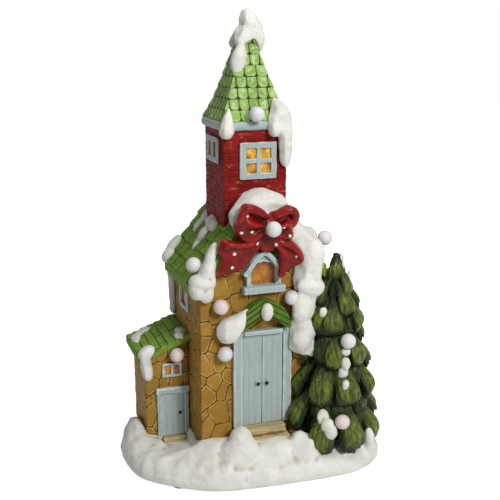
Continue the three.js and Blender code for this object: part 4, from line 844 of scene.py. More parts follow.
def brick_relief(points, normals):
    """Brick courses up z, with joints along x + y staggered by half a brick, all slightly wavering."""
    s = sizes()
    across = points[:, 0] + points[:, 1]
    up = points[:, 2] + 0.5 * MM * lumps(points, 14.0 * MM, 41)
    share, inside, tone = tiles(up, across, s.brick_course, s.brick_length, 0.0)
    away = np.minimum(inside, (1.0 - share) * s.brick_course)
    sunk = JOINT_DEPTH * groove(away, JOINT_WIDTH)
    return 0.25 * MM * lumps(points, 8.0 * MM, 43) - sunk, {"away": away / MM, "tone": tone}


class CHURCH_OT_walls(bpy.types.Operator):
    """Flagstone walls of the hall and annex, and the brick tower"""
    bl_idname = "church.walls"
    bl_label = "Walls"

    def execute(self, context):
        stone = stone_paint()
        for node in ("hall_walls", "annex_walls"):
            recast(node, "_stone", STONE_GRAIN, 2, stone_relief, stone, "stonework")
        tower = cast("tower_brick", ["tower_walls"], BRICK_GRAIN, 2, brick_relief)
        place(tower, brick_paint(), "tower_red", ["tower_walls"])
        return {"FINISHED"}


# Roofs

def closed_slab(name, upper, lower, marks):
    """Upper and lower grids of one size become a closed slab: each row runs over the upper face and back
    under the lower one, and both end rows close on their own middle line."""
    half = (upper + lower) / 2.0
    around = np.concatenate([upper, lower[:, ::-1]], 1)
    closed = np.concatenate([half, half[:, ::-1]], 1)
    grid = np.concatenate([closed[:1], around, closed[-1:]], 0)
    full = {}
    for mark, (values, rest) in marks.items():
        wide = np.concatenate([values, np.full(values.shape, rest)], 1)
        full[mark] = np.concatenate([wide[:1], wide, wide[-1:]], 0)
    return sheet(name, grid, marks=full, sharp=50.0)


def lapped(up, across, course, width, lip, corner):
    """Relief of lapped tiles: thick at the lower edge, thin at the upper one, and sunk outside the
    outline. It comes with the marks for the roof's paint."""
    share, inside, tone = tiles(up, across, course, width, corner)
    body = smooth((inside + 0.3 * MM) / (1.5 * MM))
    relief = lip * (1.0 - share) * body + 0.6 * MM * (tone - 0.5) * body
    return relief, {"away": inside / MM, "tone": tone, "share": share}


# Each mark's value on the plain lower face of a roof
PLAIN_MARKS = {"away": 9.0, "tone": 0.5, "share": 0.5}


def roof(name, node, upper, lower, marks, material):
    """A slab in green paint in place of a roof of the CAD."""
    marks = {mark: (values, PLAIN_MARKS[mark]) for mark, values in marks.items()}
    place(closed_slab(name, upper, lower, marks), material, "roof_green", [node])


RIDGE = 322.0 * MM
RIDGE_ROUND = 7.1 * MM
PITCH = 1.27
ROOF_THICK = 8.0 * MM
ROOF_REACH = 80.0 * MM


def hall_roof(material):
    """Two slopes over a rounded ridge: z = ridge - pitch * sqrt(x * x + r * r), slabs lapped down each."""
    s = sizes()
    low, high = box("hall_roof")
    centre = (low[0] + high[0]) / 2.0
    x, y = np.meshgrid(np.linspace(-ROOF_REACH, ROOF_REACH, 211), np.linspace(low[1], high[1], 111))
    soft = np.hypot(x, RIDGE_ROUND)
    slope = PITCH * x / soft
    normal = np.stack([slope, np.zeros_like(x), np.ones_like(x)], -1) / np.hypot(slope, 1.0)[..., None]
    upper = np.stack([centre + x, y, RIDGE - PITCH * soft], -1)
    drop = ROOF_THICK * math.hypot(1.0, PITCH)
    lower = upper - np.array([0.0, 0.0, drop])
    up = (ROOF_REACH - np.abs(x)) * math.hypot(1.0, PITCH) + 0.8 * MM * lumps(upper, 20.0 * MM, 51)
    relief, marks = lapped(up, y + 500.0 * MM, s.slab_course, s.slab_width, s.slab_lip, 2.0 * MM)
    upper = upper + normal * (relief + 0.4 * MM * lumps(upper, 7.0 * MM, 53))[..., None]
    roof("hall_slabs", "hall_roof", upper, lower, marks, material)


ANNEX_PITCH = 0.38
ANNEX_THICK = 7.5 * MM
PLANK_LENGTH = 61.0 * MM


def annex_roof(material):
    """One slope, z = eave + pitch * x, with planks that run front to back, each lapping the one below."""
    s = sizes()
    low, high = box("annex_roof")
    x, y = np.meshgrid(np.linspace(low[0], high[0], 121), np.linspace(low[1], high[1], 91))
    plane = np.stack([x, y, low[2] + ANNEX_THICK + ANNEX_PITCH * (x - low[0])], -1)
    normal = np.array([-ANNEX_PITCH, 0.0, 1.0]) / math.hypot(1.0, ANNEX_PITCH)
    up = (x - low[0]) * math.hypot(1.0, ANNEX_PITCH)
    up = up + 0.9 * MM * lumps(plane, 22.0 * MM, 57)
    relief, marks = lapped(up, y - low[1], s.plank_width, PLANK_LENGTH, 1.6 * MM, 1.5 * MM)
    upper = plane + normal * (relief + 0.4 * MM * lumps(plane, 8.0 * MM, 59) - 0.3 * MM)[..., None]
    lower = plane - np.array([0.0, 0.0, ANNEX_THICK])
    roof("annex_planks", "annex_roof", upper, lower, marks, material)


# Snow lying on the left slope and on the annex roof: centre, radii, tilt, turn, seed and roughness
HALL_SLOPE = -math.atan(PITCH)
ANNEX_SLOPE = -math.atan(ANNEX_PITCH)
ROOF_SNOW = {
    "roof_snow": (
        ((-31, 60, 276), (9, 8, 5.5), HALL_SLOPE, 0, 3, 0.1),
        ((-40, 61, 265), (10, 6, 4.8), HALL_SLOPE, 0.1, 4, 0.1),
        ((-33, 26, 274), (10, 11, 6.5), HALL_SLOPE, 0.3, 5, 0.25),
        ((-34, 16, 273), (7, 8, 5.5), HALL_SLOPE, 0, 6, 0.2),
        ((-43, 28, 261.5), (11, 8.5, 5.8), HALL_SLOPE, 0, 7, 0.2),
        ((-51, 29, 251), (10, 5, 4.8), HALL_SLOPE, 0.1, 8, 0.2),
    ),
    "annex_snow": (
        ((-119, 62, 133), (7, 13, 4), ANNEX_SLOPE, 0, 3, 0.1),
        ((-109, 72, 137.5), (10, 7, 3.5), ANNEX_SLOPE, 0, 4, 0.1),
        ((-75, 23, 150.5), (6, 9, 4), ANNEX_SLOPE, 0.5, 5, 0.1),
        ((-78, 12, 149), (6, 7, 3.5), ANNEX_SLOPE, 0.2, 6, 0.2),
    ),
}


class CHURCH_OT_roofs(bpy.types.Operator):
    """Slabs of the hall roof, planks of the annex roof and the snow patches on both"""
    bl_idname = "church.roofs"
    bl_label = "Roofs"

    def execute(self, context):
        c = colours()
        slabs = roof_paint("Roof_slabs", c.slab, c.slab_light, 0.6)
        hall_roof(slabs)
        annex_roof(slabs)
        for name, rows in ROOF_SNOW.items():
            place(cast(name, [], 1.0 * MM, 4, snow_relief, eggs(rows)), snow_paint(), "snow")
        return {"FINISHED"}


STEEPLE_HEIGHT = 112.0 * MM
STEEPLE_HALF = 38.5 * MM
STEEPLE_FLARE = 0.14
TILE_CORNER = 4.2 * MM
# Points of the steeple's grid up its height and across each face
STEEPLE_RINGS = 150
FACE_POINTS = 92


def steeple_half(height):
    """Half the side of the steeple: a straight taper with a flare that fades as the fifth power."""
    left = 1.0 - np.clip(height / STEEPLE_HEIGHT, 0.0, 1.0)
    return STEEPLE_HALF * ((1.0 - STEEPLE_FLARE) * left + STEEPLE_FLARE * left ** 5)


class CHURCH_OT_steeple(bpy.types.Operator):
    """Steeple with rounded tiles in courses"""
    bl_idname = "church.steeple"
    bl_label = "Steeple"

    def execute(self, context):
        """A square ring at each height, with the tiles standing out along each face's normal."""
        s = sizes()
        c = colours()
        centre = middle("tower_cornice")
        foot = box("tower_cornice")[1][2]
        height = np.linspace(0.0, STEEPLE_HEIGHT, STEEPLE_RINGS)
        along = (np.arange(FACE_POINTS) / FACE_POINTS) * 2.0 - 1.0
        rise, across = np.meshgrid(height, np.tile(along, 4), indexing="ij")
        half = steeple_half(rise)
        row_half = steeple_half(np.floor(rise / s.tile_course) * s.tile_course)
        width = 2.0 * row_half / np.maximum(1.0, np.round(2.0 * row_half / s.tile_width))
        face = np.repeat(np.arange(4), FACE_POINTS)[None, :]
        place_on = across * half + row_half + face * 731.0 * width
        waver = 0.35 * MM * lumps(np.stack([place_on, rise, rise * 0], -1), 9.0 * MM, 61)
        relief, marks = lapped(rise + waver, place_on, s.tile_course, width, s.tile_lip, TILE_CORNER)
        out = half + relief
        angle = face * math.pi / 2.0
        u, v = across * out, -out
        x = centre[0] + u * np.cos(angle) - v * np.sin(angle)
        y = centre[1] + u * np.sin(angle) + v * np.cos(angle)
        grid = np.stack([x, y, foot + rise], -1)
        ends = [np.broadcast_to([*centre[:2], foot + z], grid[:1].shape) for z in (0.0, STEEPLE_HEIGHT)]
        grid = np.concatenate([ends[0], grid, ends[1]], 0)
        marks = {mark: np.concatenate([v[:1], v, v[-1:]], 0) for mark, v in marks.items()}
        piece = sheet("steeple_tiles", grid, marks=marks, sharp=48.0)
        tiled = roof_paint("Steeple_tiles", c.tile, c.tile_light, 0.8, 0.6)
        place(piece, tiled, "roof_green", ["steeple_roof"])
        return {"FINISHED"}


# Trim

KNOB_DEEP = 2.2 * MM


def door_planks(points, normals):
    """Plank grooves up the door faces, nearly seven millimetres apart, a faint unevenness, and a mark on
    the knob, which is what stands in front of the face."""
    share = points[:, 0] / (6.8 * MM)
    away = np.abs(share - np.round(share)) * 6.8 * MM
    face = points[:, 1].min() + KNOB_DEEP
    front = (normals[:, 1] < -0.7) & (points[:, 1] > face)
    sunk = np.where(front, 0.35 * MM * (1.0 - smooth(away / (0.8 * MM))), 0.0)
    waver = 0.2 * MM * lumps(points * np.array([1.0, 1.0, 0.25]), 5.0 * MM, 71)
    return waver - sunk, {
        "joint": np.where(front, 0.45 * (1.0 - smooth(away / (0.7 * MM))), 0.0),
        "knob": smooth((face - points[:, 1]) / (0.3 * MM)),
    }


def trim_relief(points, normals):
    """Hand-finished edges: slow waves of a third of a millimetre."""
    return 0.35 * MM * lumps(points, 9.0 * MM, 73) + 0.15 * MM * lumps(points, 3.5 * MM, 75), {
        "joint": np.zeros(len(points))}


def cornice(material):
    """A rounded band: a fat half-round profile carried round a square with soft corners."""
    low, high = box("tower_cornice")
    centre = (low + high) / 2.0
    half = (high[0] - low[0]) / 2.0
    turn, lap = np.meshgrid(turns(240), turns(20), indexing="ij")
    square = (np.abs(np.cos(turn)) ** 16 + np.abs(np.sin(turn)) ** 16) ** (-1.0 / 16)
    bulge = np.sign(np.cos(lap)) * np.abs(np.cos(lap)) ** 0.8
    reach = (half - 5.0 * MM + 5.6 * MM * bulge) * square
    grid = np.stack([
        centre[0] + reach * np.cos(turn), centre[1] + reach * np.sin(turn),
        centre[2] + 0.3 * MM + 5.4 * MM * np.sign(np.sin(lap)) * np.abs(np.sin(lap)) ** 0.8,
    ], -1)
    grid = grid + (0.5 * MM * lumps(grid, 12.0 * MM, 77))[..., None] * np.array([0.3, 0.3, 1.0])
    marks = {"joint": np.zeros(turn.shape), "hollow": np.zeros(turn.shape)}
    piece = sheet("cornice_band", grid, True, True, marks, 180.0)
    return place(piece, material, "trim_blue", ["tower_cornice"])


FRAME_NODES = (
    "hall_door_frame", "annex_door_frame", "tower_front_window_frame", "tower_left_window_frame",
    "hall_left_window_frame", "annex_window_frame",
)
# The pointed moulding over the gable window, from its middle, with feet that stand out past the jambs
GABLE_MOULDING = (
    (-23, 231), (-20, 234), (-16, 239.5), (-10, 247), (-4, 253), (0, 254.5),
    (4, 253), (10, 247), (16, 239.5), (20, 234), (23, 231),
)


class CHURCH_OT_trim(bpy.types.Operator):
    """Doors, frames, cornice and knobs"""
    bl_idname = "church.trim"
    bl_label = "Doors and frames"

    def execute(self, context):
        s = sizes()
        trim = trim_paint()
        for node in FRAME_NODES:
            place(cast(node + "_cast", [node], s.trim_voxel, 4, trim_relief), trim, "trim_blue", [node])
        centre = middle("gable_window_pane")[0] / MM
        path = [(centre + x, z) for x, z in GABLE_MOULDING]
        hood = bar(path, 5.0, -50.5, -40.0)
        gable = cast("gable_window_band", ["gable_window_frame"], s.trim_voxel, 4, trim_relief, shells=[hood])
        place(gable, trim, "trim_blue", ["gable_window_frame"])
        for node in ("hall_door_left", "hall_door_right", "annex_door"):
            place(cast(node + "_planks", [node], s.trim_voxel, 2, door_planks), trim, "trim_blue", [node])
        cornice(trim)
        return {"FINISHED"}


class CHURCH_OT_entrance(bpy.types.Operator):
    """Steps, doorstep and hood"""
    bl_idname = "church.entrance"
    bl_label = "Steps and hood"

    def execute(self, context):
        c = colours()
        timber = timber_paint()
        for node in ("hall_steps", "annex_doorstep"):
            place(cast(node + "_cast", [node], 0.9 * MM, 4, trim_relief), timber, "timber", [node])
        hood = cast("door_hood_slabs", ["door_hood"], 1.0 * MM, 3, hood_relief)
        paint = roof_paint("Hood_slabs", shade(c.slab, 0.65), shade(c.slab, 0.85), 0.8)
        place(hood, paint, "roof_green", ["door_hood"])
        return {"FINISHED"}


def hood_relief(points, normals):
    """Grooves that follow the two falling halves of the hood, seven millimetres apart."""
    centre = middle("door_hood")
    fall = points[:, 2] + 0.62 * np.abs(points[:, 0] - centre[0]) + 1.2 * MM * lumps(points, 12.0 * MM, 83)
    share = fall / (7.0 * MM)
    away = np.abs(share - np.round(share)) * 7.0 * MM
    sunk = JOINT_DEPTH * groove(away, JOINT_WIDTH)
    step = 0.6 * MM * (share - np.floor(share) - 0.5)
    return 0.4 * MM * lumps(points, 6.0 * MM, 81) - sunk + step, {
        "away": away / MM, "tone": chance(np.floor(share), points[:, 0] > centre[0]),
        "share": np.full(len(points), 0.4)}


class CHURCH_OT_panes(bpy.types.Operator):
    """Amber panes"""
    bl_idname = "church.panes"
    bl_label = "Panes"

    def execute(self, context):
        c = colours()
        amber = amber_paint("Amber", c.amber)
        bright = amber_paint("Bright_amber", c.amber_bright)
        for window in ("hall_left", "annex", "gable"):
            paint_node(window + "_window_pane", amber)
        for window in ("tower_front", "tower_left"):
            paint_node(window + "_window_pane", bright)
        return {"FINISHED"}


# Bow

# Outlines of the left loop, right loop, left tail and right tail about the knot, in millimetres
BOW_RIBBONS = (
    ((-3, 12), (-9, 18.5), (-22, 25), (-29, 24), (-34, 13), (-38.5, 4),
     (-38, -3), (-33, -11), (-26, -16), (-14, -16), (-5, -10)),
    ((1, 12), (10.5, 16.5), (22, 21), (28.5, 18.5), (31, 13), (29, 5),
     (26.5, -3), (28, -13), (22, -17), (14, -15.5), (4, -12)),
    ((-4, -8), (-20, -14), (-36, -14), (-49, -11), (-54, -17), (-55, -25), (-51, -31),
     (-56, -49), (-44, -49), (-30, -46), (-22, -39), (-9, -23)),
    ((0, -8), (12, -14), (29, -20), (37, -30), (42, -39), (37, -45.5), (24, -49),
     (18, -58), (12, -57), (13, -46), (11, -26), (3, -20)),
)
RIBBON_CENTRES = ((-22, 2), (17, 1), (-36, -30), (22, -36))
RIBBON_THICK = (9.5, 9.5, 6.0, 6.0)
RIBBON_BACK = (0.5, 0.5, 2.0, 2.0)
# Rolled upper edges of the loops: x, depth and z about the knot
BOW_ROLLS = (
    ((-3, -6, 9), (-9, -8, 15), (-17, -9, 20), (-25, -9, 22), (-30, -8, 18), (-33, -6, 10), (-35, -4, 3)),
    ((3, -6, 9), (10, -8, 13.5), (18, -9, 17.5), (25, -9, 16.5), (28, -8, 11), (27, -6, 4), (25, -4, -3)),
    ((-8, -3, -13), (-20, -5, -17.5), (-33, -6, -18), (-44, -6, -16), (-50, -5, -20)),
    ((6, -3, -14), (16, -5, -19), (27, -6, -24), (34, -6, -32), (38, -5, -39)),
)
BOW_DOTS = (
    (-25.4, 13.8), (-31.3, -4.2), (-19.9, -4.0), (13.8, -1.2), (22.9, -11.5), (-13.9, -17.3), (7.2, -20.0),
    (-38.5, -26.5), (-40.7, -41.3), (31.1, -35.1),
)
DOT_RADIUS = 2.1


def smooth_loop(points, count):
    """A closed curve through the points: Catmull-Rom pieces, each of the same number of steps."""
    knots = np.array(points, float)
    t = np.arange(count) / count * len(knots)
    i = np.floor(t).astype(int)
    f = (t - i)[:, None]
    a, b, c, d = (knots[(i + shift) % len(knots)] for shift in (-1, 0, 1, 2))
    squared = (2 * a - 5 * b + 4 * c - d) * f ** 2
    cubed = (3 * b - a - 3 * c + d) * f ** 3
    return 0.5 * (2 * b + (c - a) * f + squared + cubed)


def pillow(points, centre, thick, knot, back, seed):
    """A puffed ribbon: the outline shrinks to its centre while the depth swells as sqrt(1 - r * r), with
    folds that fan out from the knot."""
    edge = smooth_loop(points, 96)
    r = np.sin(np.linspace(0.0, math.pi / 2, 17))
    r = np.concatenate([r, r[::-1]])
    side = np.where(np.arange(34) < 17, -1.0, 0.7)
    flat = np.array(centre) + r[:, None, None] * (edge - np.array(centre))[None]
    puff = np.sqrt(np.clip(1.0 - r ** 2, 0.0, 1.0))[:, None]
    fan = np.arctan2(flat[..., 1], flat[..., 0])
    far = np.hypot(flat[..., 0], flat[..., 1])
    folds = 3.2 * np.sin(fan * 7.0 + seed) * smooth(far / 10.0) * smooth((52.0 - far) / 30.0) * puff
    depth = back + side[:, None] * (thick * puff ** 0.75 + folds)
    return knot + np.stack([flat[..., 0], depth, flat[..., 1]], -1) * MM


def roll(points, knot, radius):
    """A tube carried along a smooth path through the points, thinner towards its two ends."""
    path = np.array(points, float)
    t = np.linspace(0.0, len(path) - 1.0, 40)
    path = np.stack([np.interp(t, np.arange(len(path)), path[:, axis]) for axis in range(3)], -1)
    for _ in range(6):
        path[1:-1] = (path[:-2] + path[1:-1] * 2.0 + path[2:]) / 4.0
    along = unit(np.gradient(path, axis=0))
    side = np.cross(along, np.array([0.0, 1.0, 0.0]))
    side = side / np.linalg.norm(side, axis=1)[:, None]
    over = np.cross(side, along)
    lap = turns(20)
    share = np.linspace(-1.0, 1.0, 40)
    thick = radius * (1.0 - np.abs(share) ** 4) ** 0.5
    ring = side[:, None] * np.cos(lap)[None, :, None] + over[:, None] * np.sin(lap)[None, :, None]
    return knot + (path[:, None] + ring * thick[:, None, None]) * MM


def dot(spot, normal):
    """A low dome on the ribbon: it sinks under the surface at its rim and stands half a millimetre proud."""
    side = np.cross(normal, np.array([0.0, 0.0, 1.0]))
    side = side / np.linalg.norm(side)
    over = np.cross(side, normal)
    r = np.array([0.0, 0.35, 0.65, 0.87, 1.0, 0.9, 0.0])
    rise = np.array([0.55, 0.5, 0.35, 0.1, -0.5, -1.0, -1.0])
    lap = turns(20)
    ring = side * np.cos(lap)[:, None] + over * np.sin(lap)[:, None]
    return spot + (r[:, None, None] * DOT_RADIUS * ring[None] + rise[:, None, None] * normal) * MM


class CHURCH_OT_bow(bpy.types.Operator):
    """Bow with its knot, tails and painted dots"""
    bl_idname = "church.bow"
    bl_label = "Bow"

    def execute(self, context):
        knot = middle("bulb_bow") + np.array([0.0, 17.0 * MM, 0.0])
        shells = [
            pillow(points, centre, thick, knot, back, seed) for seed, (points, centre, thick, back)
            in enumerate(zip(BOW_RIBBONS, RIBBON_CENTRES, RIBBON_THICK, RIBBON_BACK))
        ]
        shells += [roll(points, knot, radius) for points, radius in zip(BOW_ROLLS, (4.6, 4.6, 3.2, 3.2))]
        shells.append(egg(knot / MM + np.array([-1.0, -1.0, 1.0]), (9.0, 9.0, 12.0), seed=5, rough=0.1))
        shells.append(egg(knot / MM + np.array([1.0, 3.0, -17.0]), (13.0, 5.0, 12.0), seed=6, rough=0.1))
        bow = cast("bow_ribbon", [], 0.8 * MM, 3, shells=shells)
        place(bow, bow_paint(), "bow_red", ["bow"])
        spots = [landing(bow, knot + np.array([x, -60.0, z]) * MM, (0.0, 1.0, 0.0)) for x, z in BOW_DOTS]
        dots = many("bow_dots", np.stack([dot(*spot) for spot in spots]), sharp=50.0)
        place(dots, dot_paint(), "bow_red")
        return {"FINISHED"}


# Fir tree

# Tiers of the fir: height of the tips and reach in millimetres, then bearings in degrees
FIR_TIERS = (
    (222, 11, (-110, 60)), (203, 20, (-50, 30, 110)), (192, 25, (-170,)), (183, 28, (-75, 5)),
    (164, 33, (-35, -115, -160, 75)), (146, 35, (0, 130)), (126, 39, (-55, -105, 168, 60)),
    (115, 43, (-5, 110)), (86, 48.5, (-30, -87, -130, 165, 40)), (52, 55, (-176, 5, 75, 120)),
    (33, 56, (-35, -81, -125)),
)
FIR_REACH = 56.0
FIR_DROOP = 40.0
FIR_SQUASH = 0.85
FIR_FOOT = np.array([85.0, -50.0, 0.0]) * MM
# Snow on the fir: where a line starts, its direction, and the radii of the egg where it lands
FIR_SNOW = (
    ((65, -200, 185), (0, 1, 0), (4.8, 4, 6.5)), ((86, -200, 144), (0, 1, 0), (5.2, 4.5, 4.5)),
    ((84.5, -200, 131), (0, 1, 0), (5, 4, 7)), ((83.5, -200, 120), (0, 1, 0), (6.5, 4.5, 9)),
    ((82.5, -200, 108), (0, 1, 0), (3.5, 4, 6)), ((200, -50, 88), (-1, 0, 0), (5, 5, 6)),
    ((61, -200, 68), (0, 1, 0), (7.5, 5, 9.5)), ((63, -200, 61), (0, 1, 0), (7, 5, 8)),
    ((66, -200, 54), (0, 1, 0), (7, 5, 8)), ((200, -50, 219), (-1, 0, 0), (3, 3.5, 8)),
    ((200, -50, 233), (-1, 0, 0), (3.5, 3.5, 7)), ((200, -50, 243), (-1, 0, 0), (3.5, 3.5, 4.5)),
)


def bough(bearing, tip, reach, seed):
    """A drooping tongue: it runs out along t and falls as t to the power 1.7, broad towards a blunt tip
    with fingers; the section is a flat oval with needle ridges that deepen towards the tip."""
    s = sizes()
    share = reach / FIR_REACH
    rise = FIR_DROOP * (0.4 + share)
    width = 7.0 + 8.0 * share
    rows, columns = 30, 46
    t = np.linspace(0.0, 1.0, rows) ** 0.8
    lap = np.arange(columns) * 2 * math.pi / columns
    t, lap = np.meshgrid(t, lap, indexing="ij")
    swell = np.sqrt(np.clip(1.0 - np.abs(2.0 * t - 1.0) ** 11, 0.0, 1.0))
    spread = width * (0.42 + 0.72 * t ** 1.5)
    wander = 1.4 * lumps(np.stack([t * 3.0, np.cos(lap) + seed, np.sin(lap)], -1), 1.0, seed)
    turned = lap + wander * 0.15 + 6.0 * chance(seed, 3)
    ridge = 0.4 * np.cos(turned * 13.0 + wander * 2.0) + 0.35 * np.cos(turned * 5.0 + wander) + 0.25 * np.cos(
        turned * 8.0 - 2.0 * wander)
    depth = (0.15 + 1.4 * smooth((t - 0.5) / 0.45)) * s.needle_ridge / MM
    dent = 1.0 * lumps(np.stack([t * 2.0, np.cos(lap) * 1.2, np.sin(lap) * 1.2 + seed], -1), 0.9, seed + 5)
    round_it = (spread + depth * ridge + dent) * swell
    side = round_it * np.cos(lap)
    thick = round_it * np.sin(lap) * 0.8
    fingers = 3.4 * ridge * smooth((t - 0.8) / 0.2) * swell
    outwards = (reach - 2.0) * t + thick * 0.5 * t ** 1.7 + fingers * 0.3
    upwards = tip + rise * (1.0 - t ** 1.7) + thick - fingers
    angle = math.radians(bearing)
    x = outwards * math.cos(angle) - side * math.sin(angle)
    y = outwards * math.sin(angle) + side * math.cos(angle)
    outside = smooth((np.sin(lap) + 0.25) / 1.1)
    marks = {"tip": smooth((t - 0.52) / 0.4) * outside, "ridge": 0.5 + 0.5 * ridge}
    return np.stack([x, y * FIR_SQUASH, upwards], -1) * MM + FIR_FOOT, marks


def trunk():
    """The dark core between the boughs: a cone with a wavy skin and a pointed top."""
    low, high = box("fir_tree")
    share, lap = np.meshgrid(np.linspace(0.0, 1.0, 40), turns(36), indexing="ij")
    radius = (32.0 * (1.0 - share) + 5.0) * np.sqrt(np.clip((1.0 - share) / 0.04, 0.0, 1.0)) * MM
    radius = radius * (1.0 + 0.12 * np.cos(lap * 7.0 + share * 30.0))
    radius[0] = 0.0
    top = low[2] + (high[2] - low[2]) * np.clip(share * 1.02 - 0.02, 0.0, 1.0)
    grid = np.stack([
        FIR_FOOT[0] + radius * np.cos(lap), FIR_FOOT[1] + FIR_SQUASH * radius * np.sin(lap), top], -1)
    return sheet("fir_core", grid, marks={"tip": share * 0, "ridge": share * 0})


class CHURCH_OT_fir(bpy.types.Operator):
    """Fir tree of drooping boughs with snow on it"""
    bl_idname = "church.fir"
    bl_label = "Fir"

    def execute(self, context):
        grids, tips, ridges = [], [], []
        for tier, (tip, reach, bearings) in enumerate(FIR_TIERS):
            fillers = (-60.0, -100.0, -145.0, 150.0) if tip < 150.0 else ()
            between = [
                (tip + 14.0, reach * 0.74, bearing + 15.0 * chance(tier, bearing)) for bearing in fillers]
            for each_tip, each_reach, bearing in [(tip, reach, bearing) for bearing in bearings] + between:
                points, marks = bough(bearing, each_tip, each_reach, len(grids))
                grids.append(points)
                tips.append(marks["tip"] * (1.0 if each_reach == reach else 0.15))
                ridges.append(marks["ridge"])
        marks = {"tip": np.stack(tips), "ridge": np.stack(ridges)}
        boughs = many("fir_boughs", np.stack(grids), marks)
        paint = fir_paint()
        place(boughs, paint, "fir_green", ["fir_tree"])
        place(trunk(), paint, "fir_green")
        dollops = []
        for seed, (start, direction, radii) in enumerate(FIR_SNOW):
            spot = landing(boughs, np.array(start) * MM, direction)[0]
            dollops.append(egg(spot / MM, radii, 0.1, 0.0, seed, 0.15))
        snow = cast("fir_snow", [], 0.9 * MM, 3, snow_relief, shells=dollops)
        place(snow, snow_paint(), "snow")
        return {"FINISHED"}


# Globes

GLOBES = {
    "bulb_steeple": False, "bulb_bow": False, "bulb_right_roof": False, "bulb_left_roof": False,
    "bulb_wall_upper_left": True, "bulb_wall_upper_right": False, "bulb_wall_lower_left": False,
    "bulb_annex": True, "bulb_tree_upper": False, "bulb_tree_lower": True,
}


class CHURCH_OT_globes(bpy.types.Operator):
    """Frosted globes"""
    bl_idname = "church.globes"
    bl_label = "Globes"

    def execute(self, context):
        c = colours()
        plain = globe_paint("Globe", c.globe)
        warm = globe_paint("Warm_globe", c.globe_warm)
        for node, is_warm in GLOBES.items():
            low, high = box(node)
            ball = egg(middle(node) / MM, [(high[2] - low[2]) / 2.0 / MM] * 3, rows=25, columns=36)
            piece = sheet(node + "_frosted", ball)
            place(piece, warm if is_warm else plain, "globe_white", [node])
        return {"FINISHED"}


# Underside, battery parts and wiring

class CHURCH_OT_power(bpy.types.Operator):
    """Battery box, switch, cells, board, wires, plate and pads"""
    bl_idname = "church.power"
    bl_label = "Power and underside"

    def execute(self, context):
        c = colours()
        plastic = plain_paint("Box_plastic", c.plastic, 0.42, 0.0006)
        for node in ("battery_box", "battery_door", "power_switch"):
            paint_node(node, plastic)
        rubber = plain_paint("Rubber", (0.02, 0.02, 0.02), 0.85, 0.0012)
        for node in ("base_plate", "foot_1", "foot_2", "foot_3", "foot_4"):
            paint_node(node, rubber)
        steel = plain_paint("Cell_steel", (0.55, 0.56, 0.58), 0.3, 0.002, 0.9)
        for node in ("battery_1", "battery_2", "battery_3"):
            paint_node(node, steel)
        paint_node("circuit_board", plain_paint("Board_green", (0.012, 0.10, 0.035), 0.4, 0.001))
        paint_node("led_harness", plain_paint("Wire_green", (0.015, 0.05, 0.02), 0.45, 0.001))
        return {"FINISHED"}


# Stage

def area_lamp(name, place_at, look_at, size, energy):
    data = bpy.data.lights.new(name, "AREA")
    data.shape = "DISK"
    data.size = size
    data.energy = energy
    lamp = bpy.data.objects.new(name, data)
    lamp.location = place_at
    lamp.rotation_euler = (Vector(look_at) - Vector(place_at)).to_track_quat("-Z", "Y").to_euler()
    bpy.context.scene.collection.objects.link(lamp)


def seen_directly(tree):
    """One for camera, glossy and transmission rays, nought for the rest."""
    path = tree.nodes.new("ShaderNodeLightPath")
    first = tree.nodes.new("ShaderNodeMath")
    second = tree.nodes.new("ShaderNodeMath")
    second.use_clamp = True
    tree.links.new(path.outputs["Is Camera Ray"], first.inputs[0])
    tree.links.new(path.outputs["Is Glossy Ray"], first.inputs[1])
    tree.links.new(first.outputs[0], second.inputs[0])
    tree.links.new(path.outputs["Is Transmission Ray"], second.inputs[1])
    return second.outputs[0]


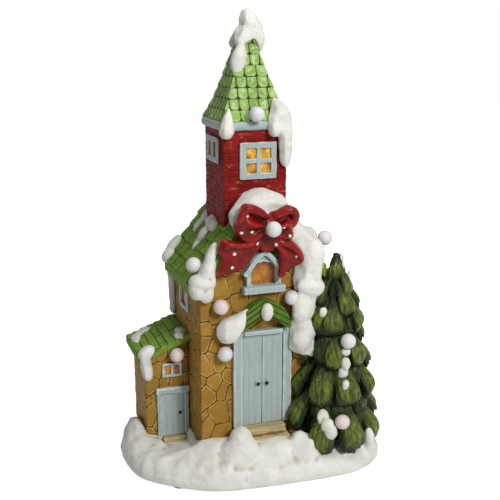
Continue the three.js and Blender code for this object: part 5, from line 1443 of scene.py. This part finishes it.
class CHURCH_OT_stage(bpy.types.Operator):
    """Camera, lamps, white floor and backdrop"""
    bl_idname = "church.stage"
    bl_label = "Stage"

    def execute(self, context):
        scene = context.scene
        scene.view_settings.view_transform = "Standard"
        data = bpy.data.cameras.new("Camera")
        data.lens = 61.2
        data.sensor_width = 36.0
        data.clip_end = 20.0
        camera = bpy.data.objects.new("Camera", data)
        camera.location = (-0.2929, -0.8756, 0.4835)
        camera.rotation_euler = (math.radians(75.6), 0.0, math.radians(-18.6))
        scene.collection.objects.link(camera)
        scene.camera = camera
        area_lamp("Key", (0.36, -1.45, 1.15), (0.0, 0.0, 0.2), 0.5, 22.0)
        area_lamp("Top", (0.10, -0.25, 1.9), (0.0, 0.0, 0.2), 0.8, 9.0)

        world = bpy.data.worlds.new("Studio")
        scene.world = world
        world.use_nodes = True
        tree = world.node_tree
        surface = tree.nodes["World Output"].inputs["Surface"]
        fill = tree.nodes["Background"]
        fill.inputs["Color"].default_value = (0.93, 0.95, 1.0, 1.0)
        fill.inputs["Strength"].default_value = 0.16
        white = tree.nodes.new("ShaderNodeBackground")
        white.inputs["Color"].default_value = (1.0, 1.0, 1.0, 1.0)
        white.inputs["Strength"].default_value = 1.0
        choose = tree.nodes.new("ShaderNodeMixShader")
        tree.links.new(seen_directly(tree), choose.inputs[0])
        tree.links.new(fill.outputs[0], choose.inputs[1])
        tree.links.new(white.outputs[0], choose.inputs[2])
        tree.links.new(choose.outputs[0], surface)

        corners = np.array([[-4, -4, 0], [4, -4, 0], [4, 4, 0], [-4, 4, 0]], float)
        floor = mesh_from("floor", corners, np.array([[0, 1, 2, 3]]))
        cloth = bpy.data.materials.new("Backdrop")
        cloth.use_nodes = True
        tree = cloth.node_tree
        tree.nodes.remove(tree.nodes["Principled BSDF"])
        plain = tree.nodes.new("ShaderNodeBsdfDiffuse")
        plain.inputs["Color"].default_value = (0.86, 0.86, 0.86, 1.0)
        glow = tree.nodes.new("ShaderNodeEmission")
        tree.links.new(seen_directly(tree), glow.inputs["Strength"])
        glow.inputs["Color"].default_value = (0.90, 0.90, 0.90, 1.0)
        total = tree.nodes.new("ShaderNodeAddShader")
        tree.links.new(plain.outputs[0], total.inputs[0])
        tree.links.new(glow.outputs[0], total.inputs[1])
        tree.links.new(total.outputs[0], tree.nodes["Material Output"].inputs["Surface"])
        floor.data.materials.append(cloth)
        return {"FINISHED"}


STEPS = (
    "snow", "walls", "roofs", "steeple", "trim", "entrance", "panes", "bow", "fir", "globes", "power",
    "stage",
)


class CHURCH_PT_panel(bpy.types.Panel):
    """Sizes, paints and the steps of making the church"""
    bl_label = "Winter Church"
    bl_space_type = "VIEW_3D"
    bl_region_type = "UI"
    bl_category = "Church"

    def draw(self, context):
        layout = self.layout
        for group in (context.scene.church_sizes, context.scene.church_colours):
            column = layout.column(align=True)
            for field in group.__annotations__:
                column.prop(group, field)
        for step in STEPS:
            layout.operator("church." + step)


CLASSES = (
    ChurchSizes, ChurchColours, CHURCH_OT_snow, CHURCH_OT_walls, CHURCH_OT_roofs, CHURCH_OT_steeple,
    CHURCH_OT_trim, CHURCH_OT_entrance, CHURCH_OT_panes, CHURCH_OT_bow, CHURCH_OT_fir, CHURCH_OT_globes,
    CHURCH_OT_power, CHURCH_OT_stage, CHURCH_PT_panel,
)


def register():
    for each in CLASSES:
        bpy.utils.register_class(each)
    bpy.types.Scene.church_sizes = PointerProperty(type=ChurchSizes)
    bpy.types.Scene.church_colours = PointerProperty(type=ChurchColours)


def unregister():
    del bpy.types.Scene.church_colours
    del bpy.types.Scene.church_sizes
    for each in reversed(CLASSES):
        bpy.utils.unregister_class(each)


def main():
    register()
    for step in STEPS:
        getattr(bpy.ops.church, step)()


if __name__ == "__main__":
    main()
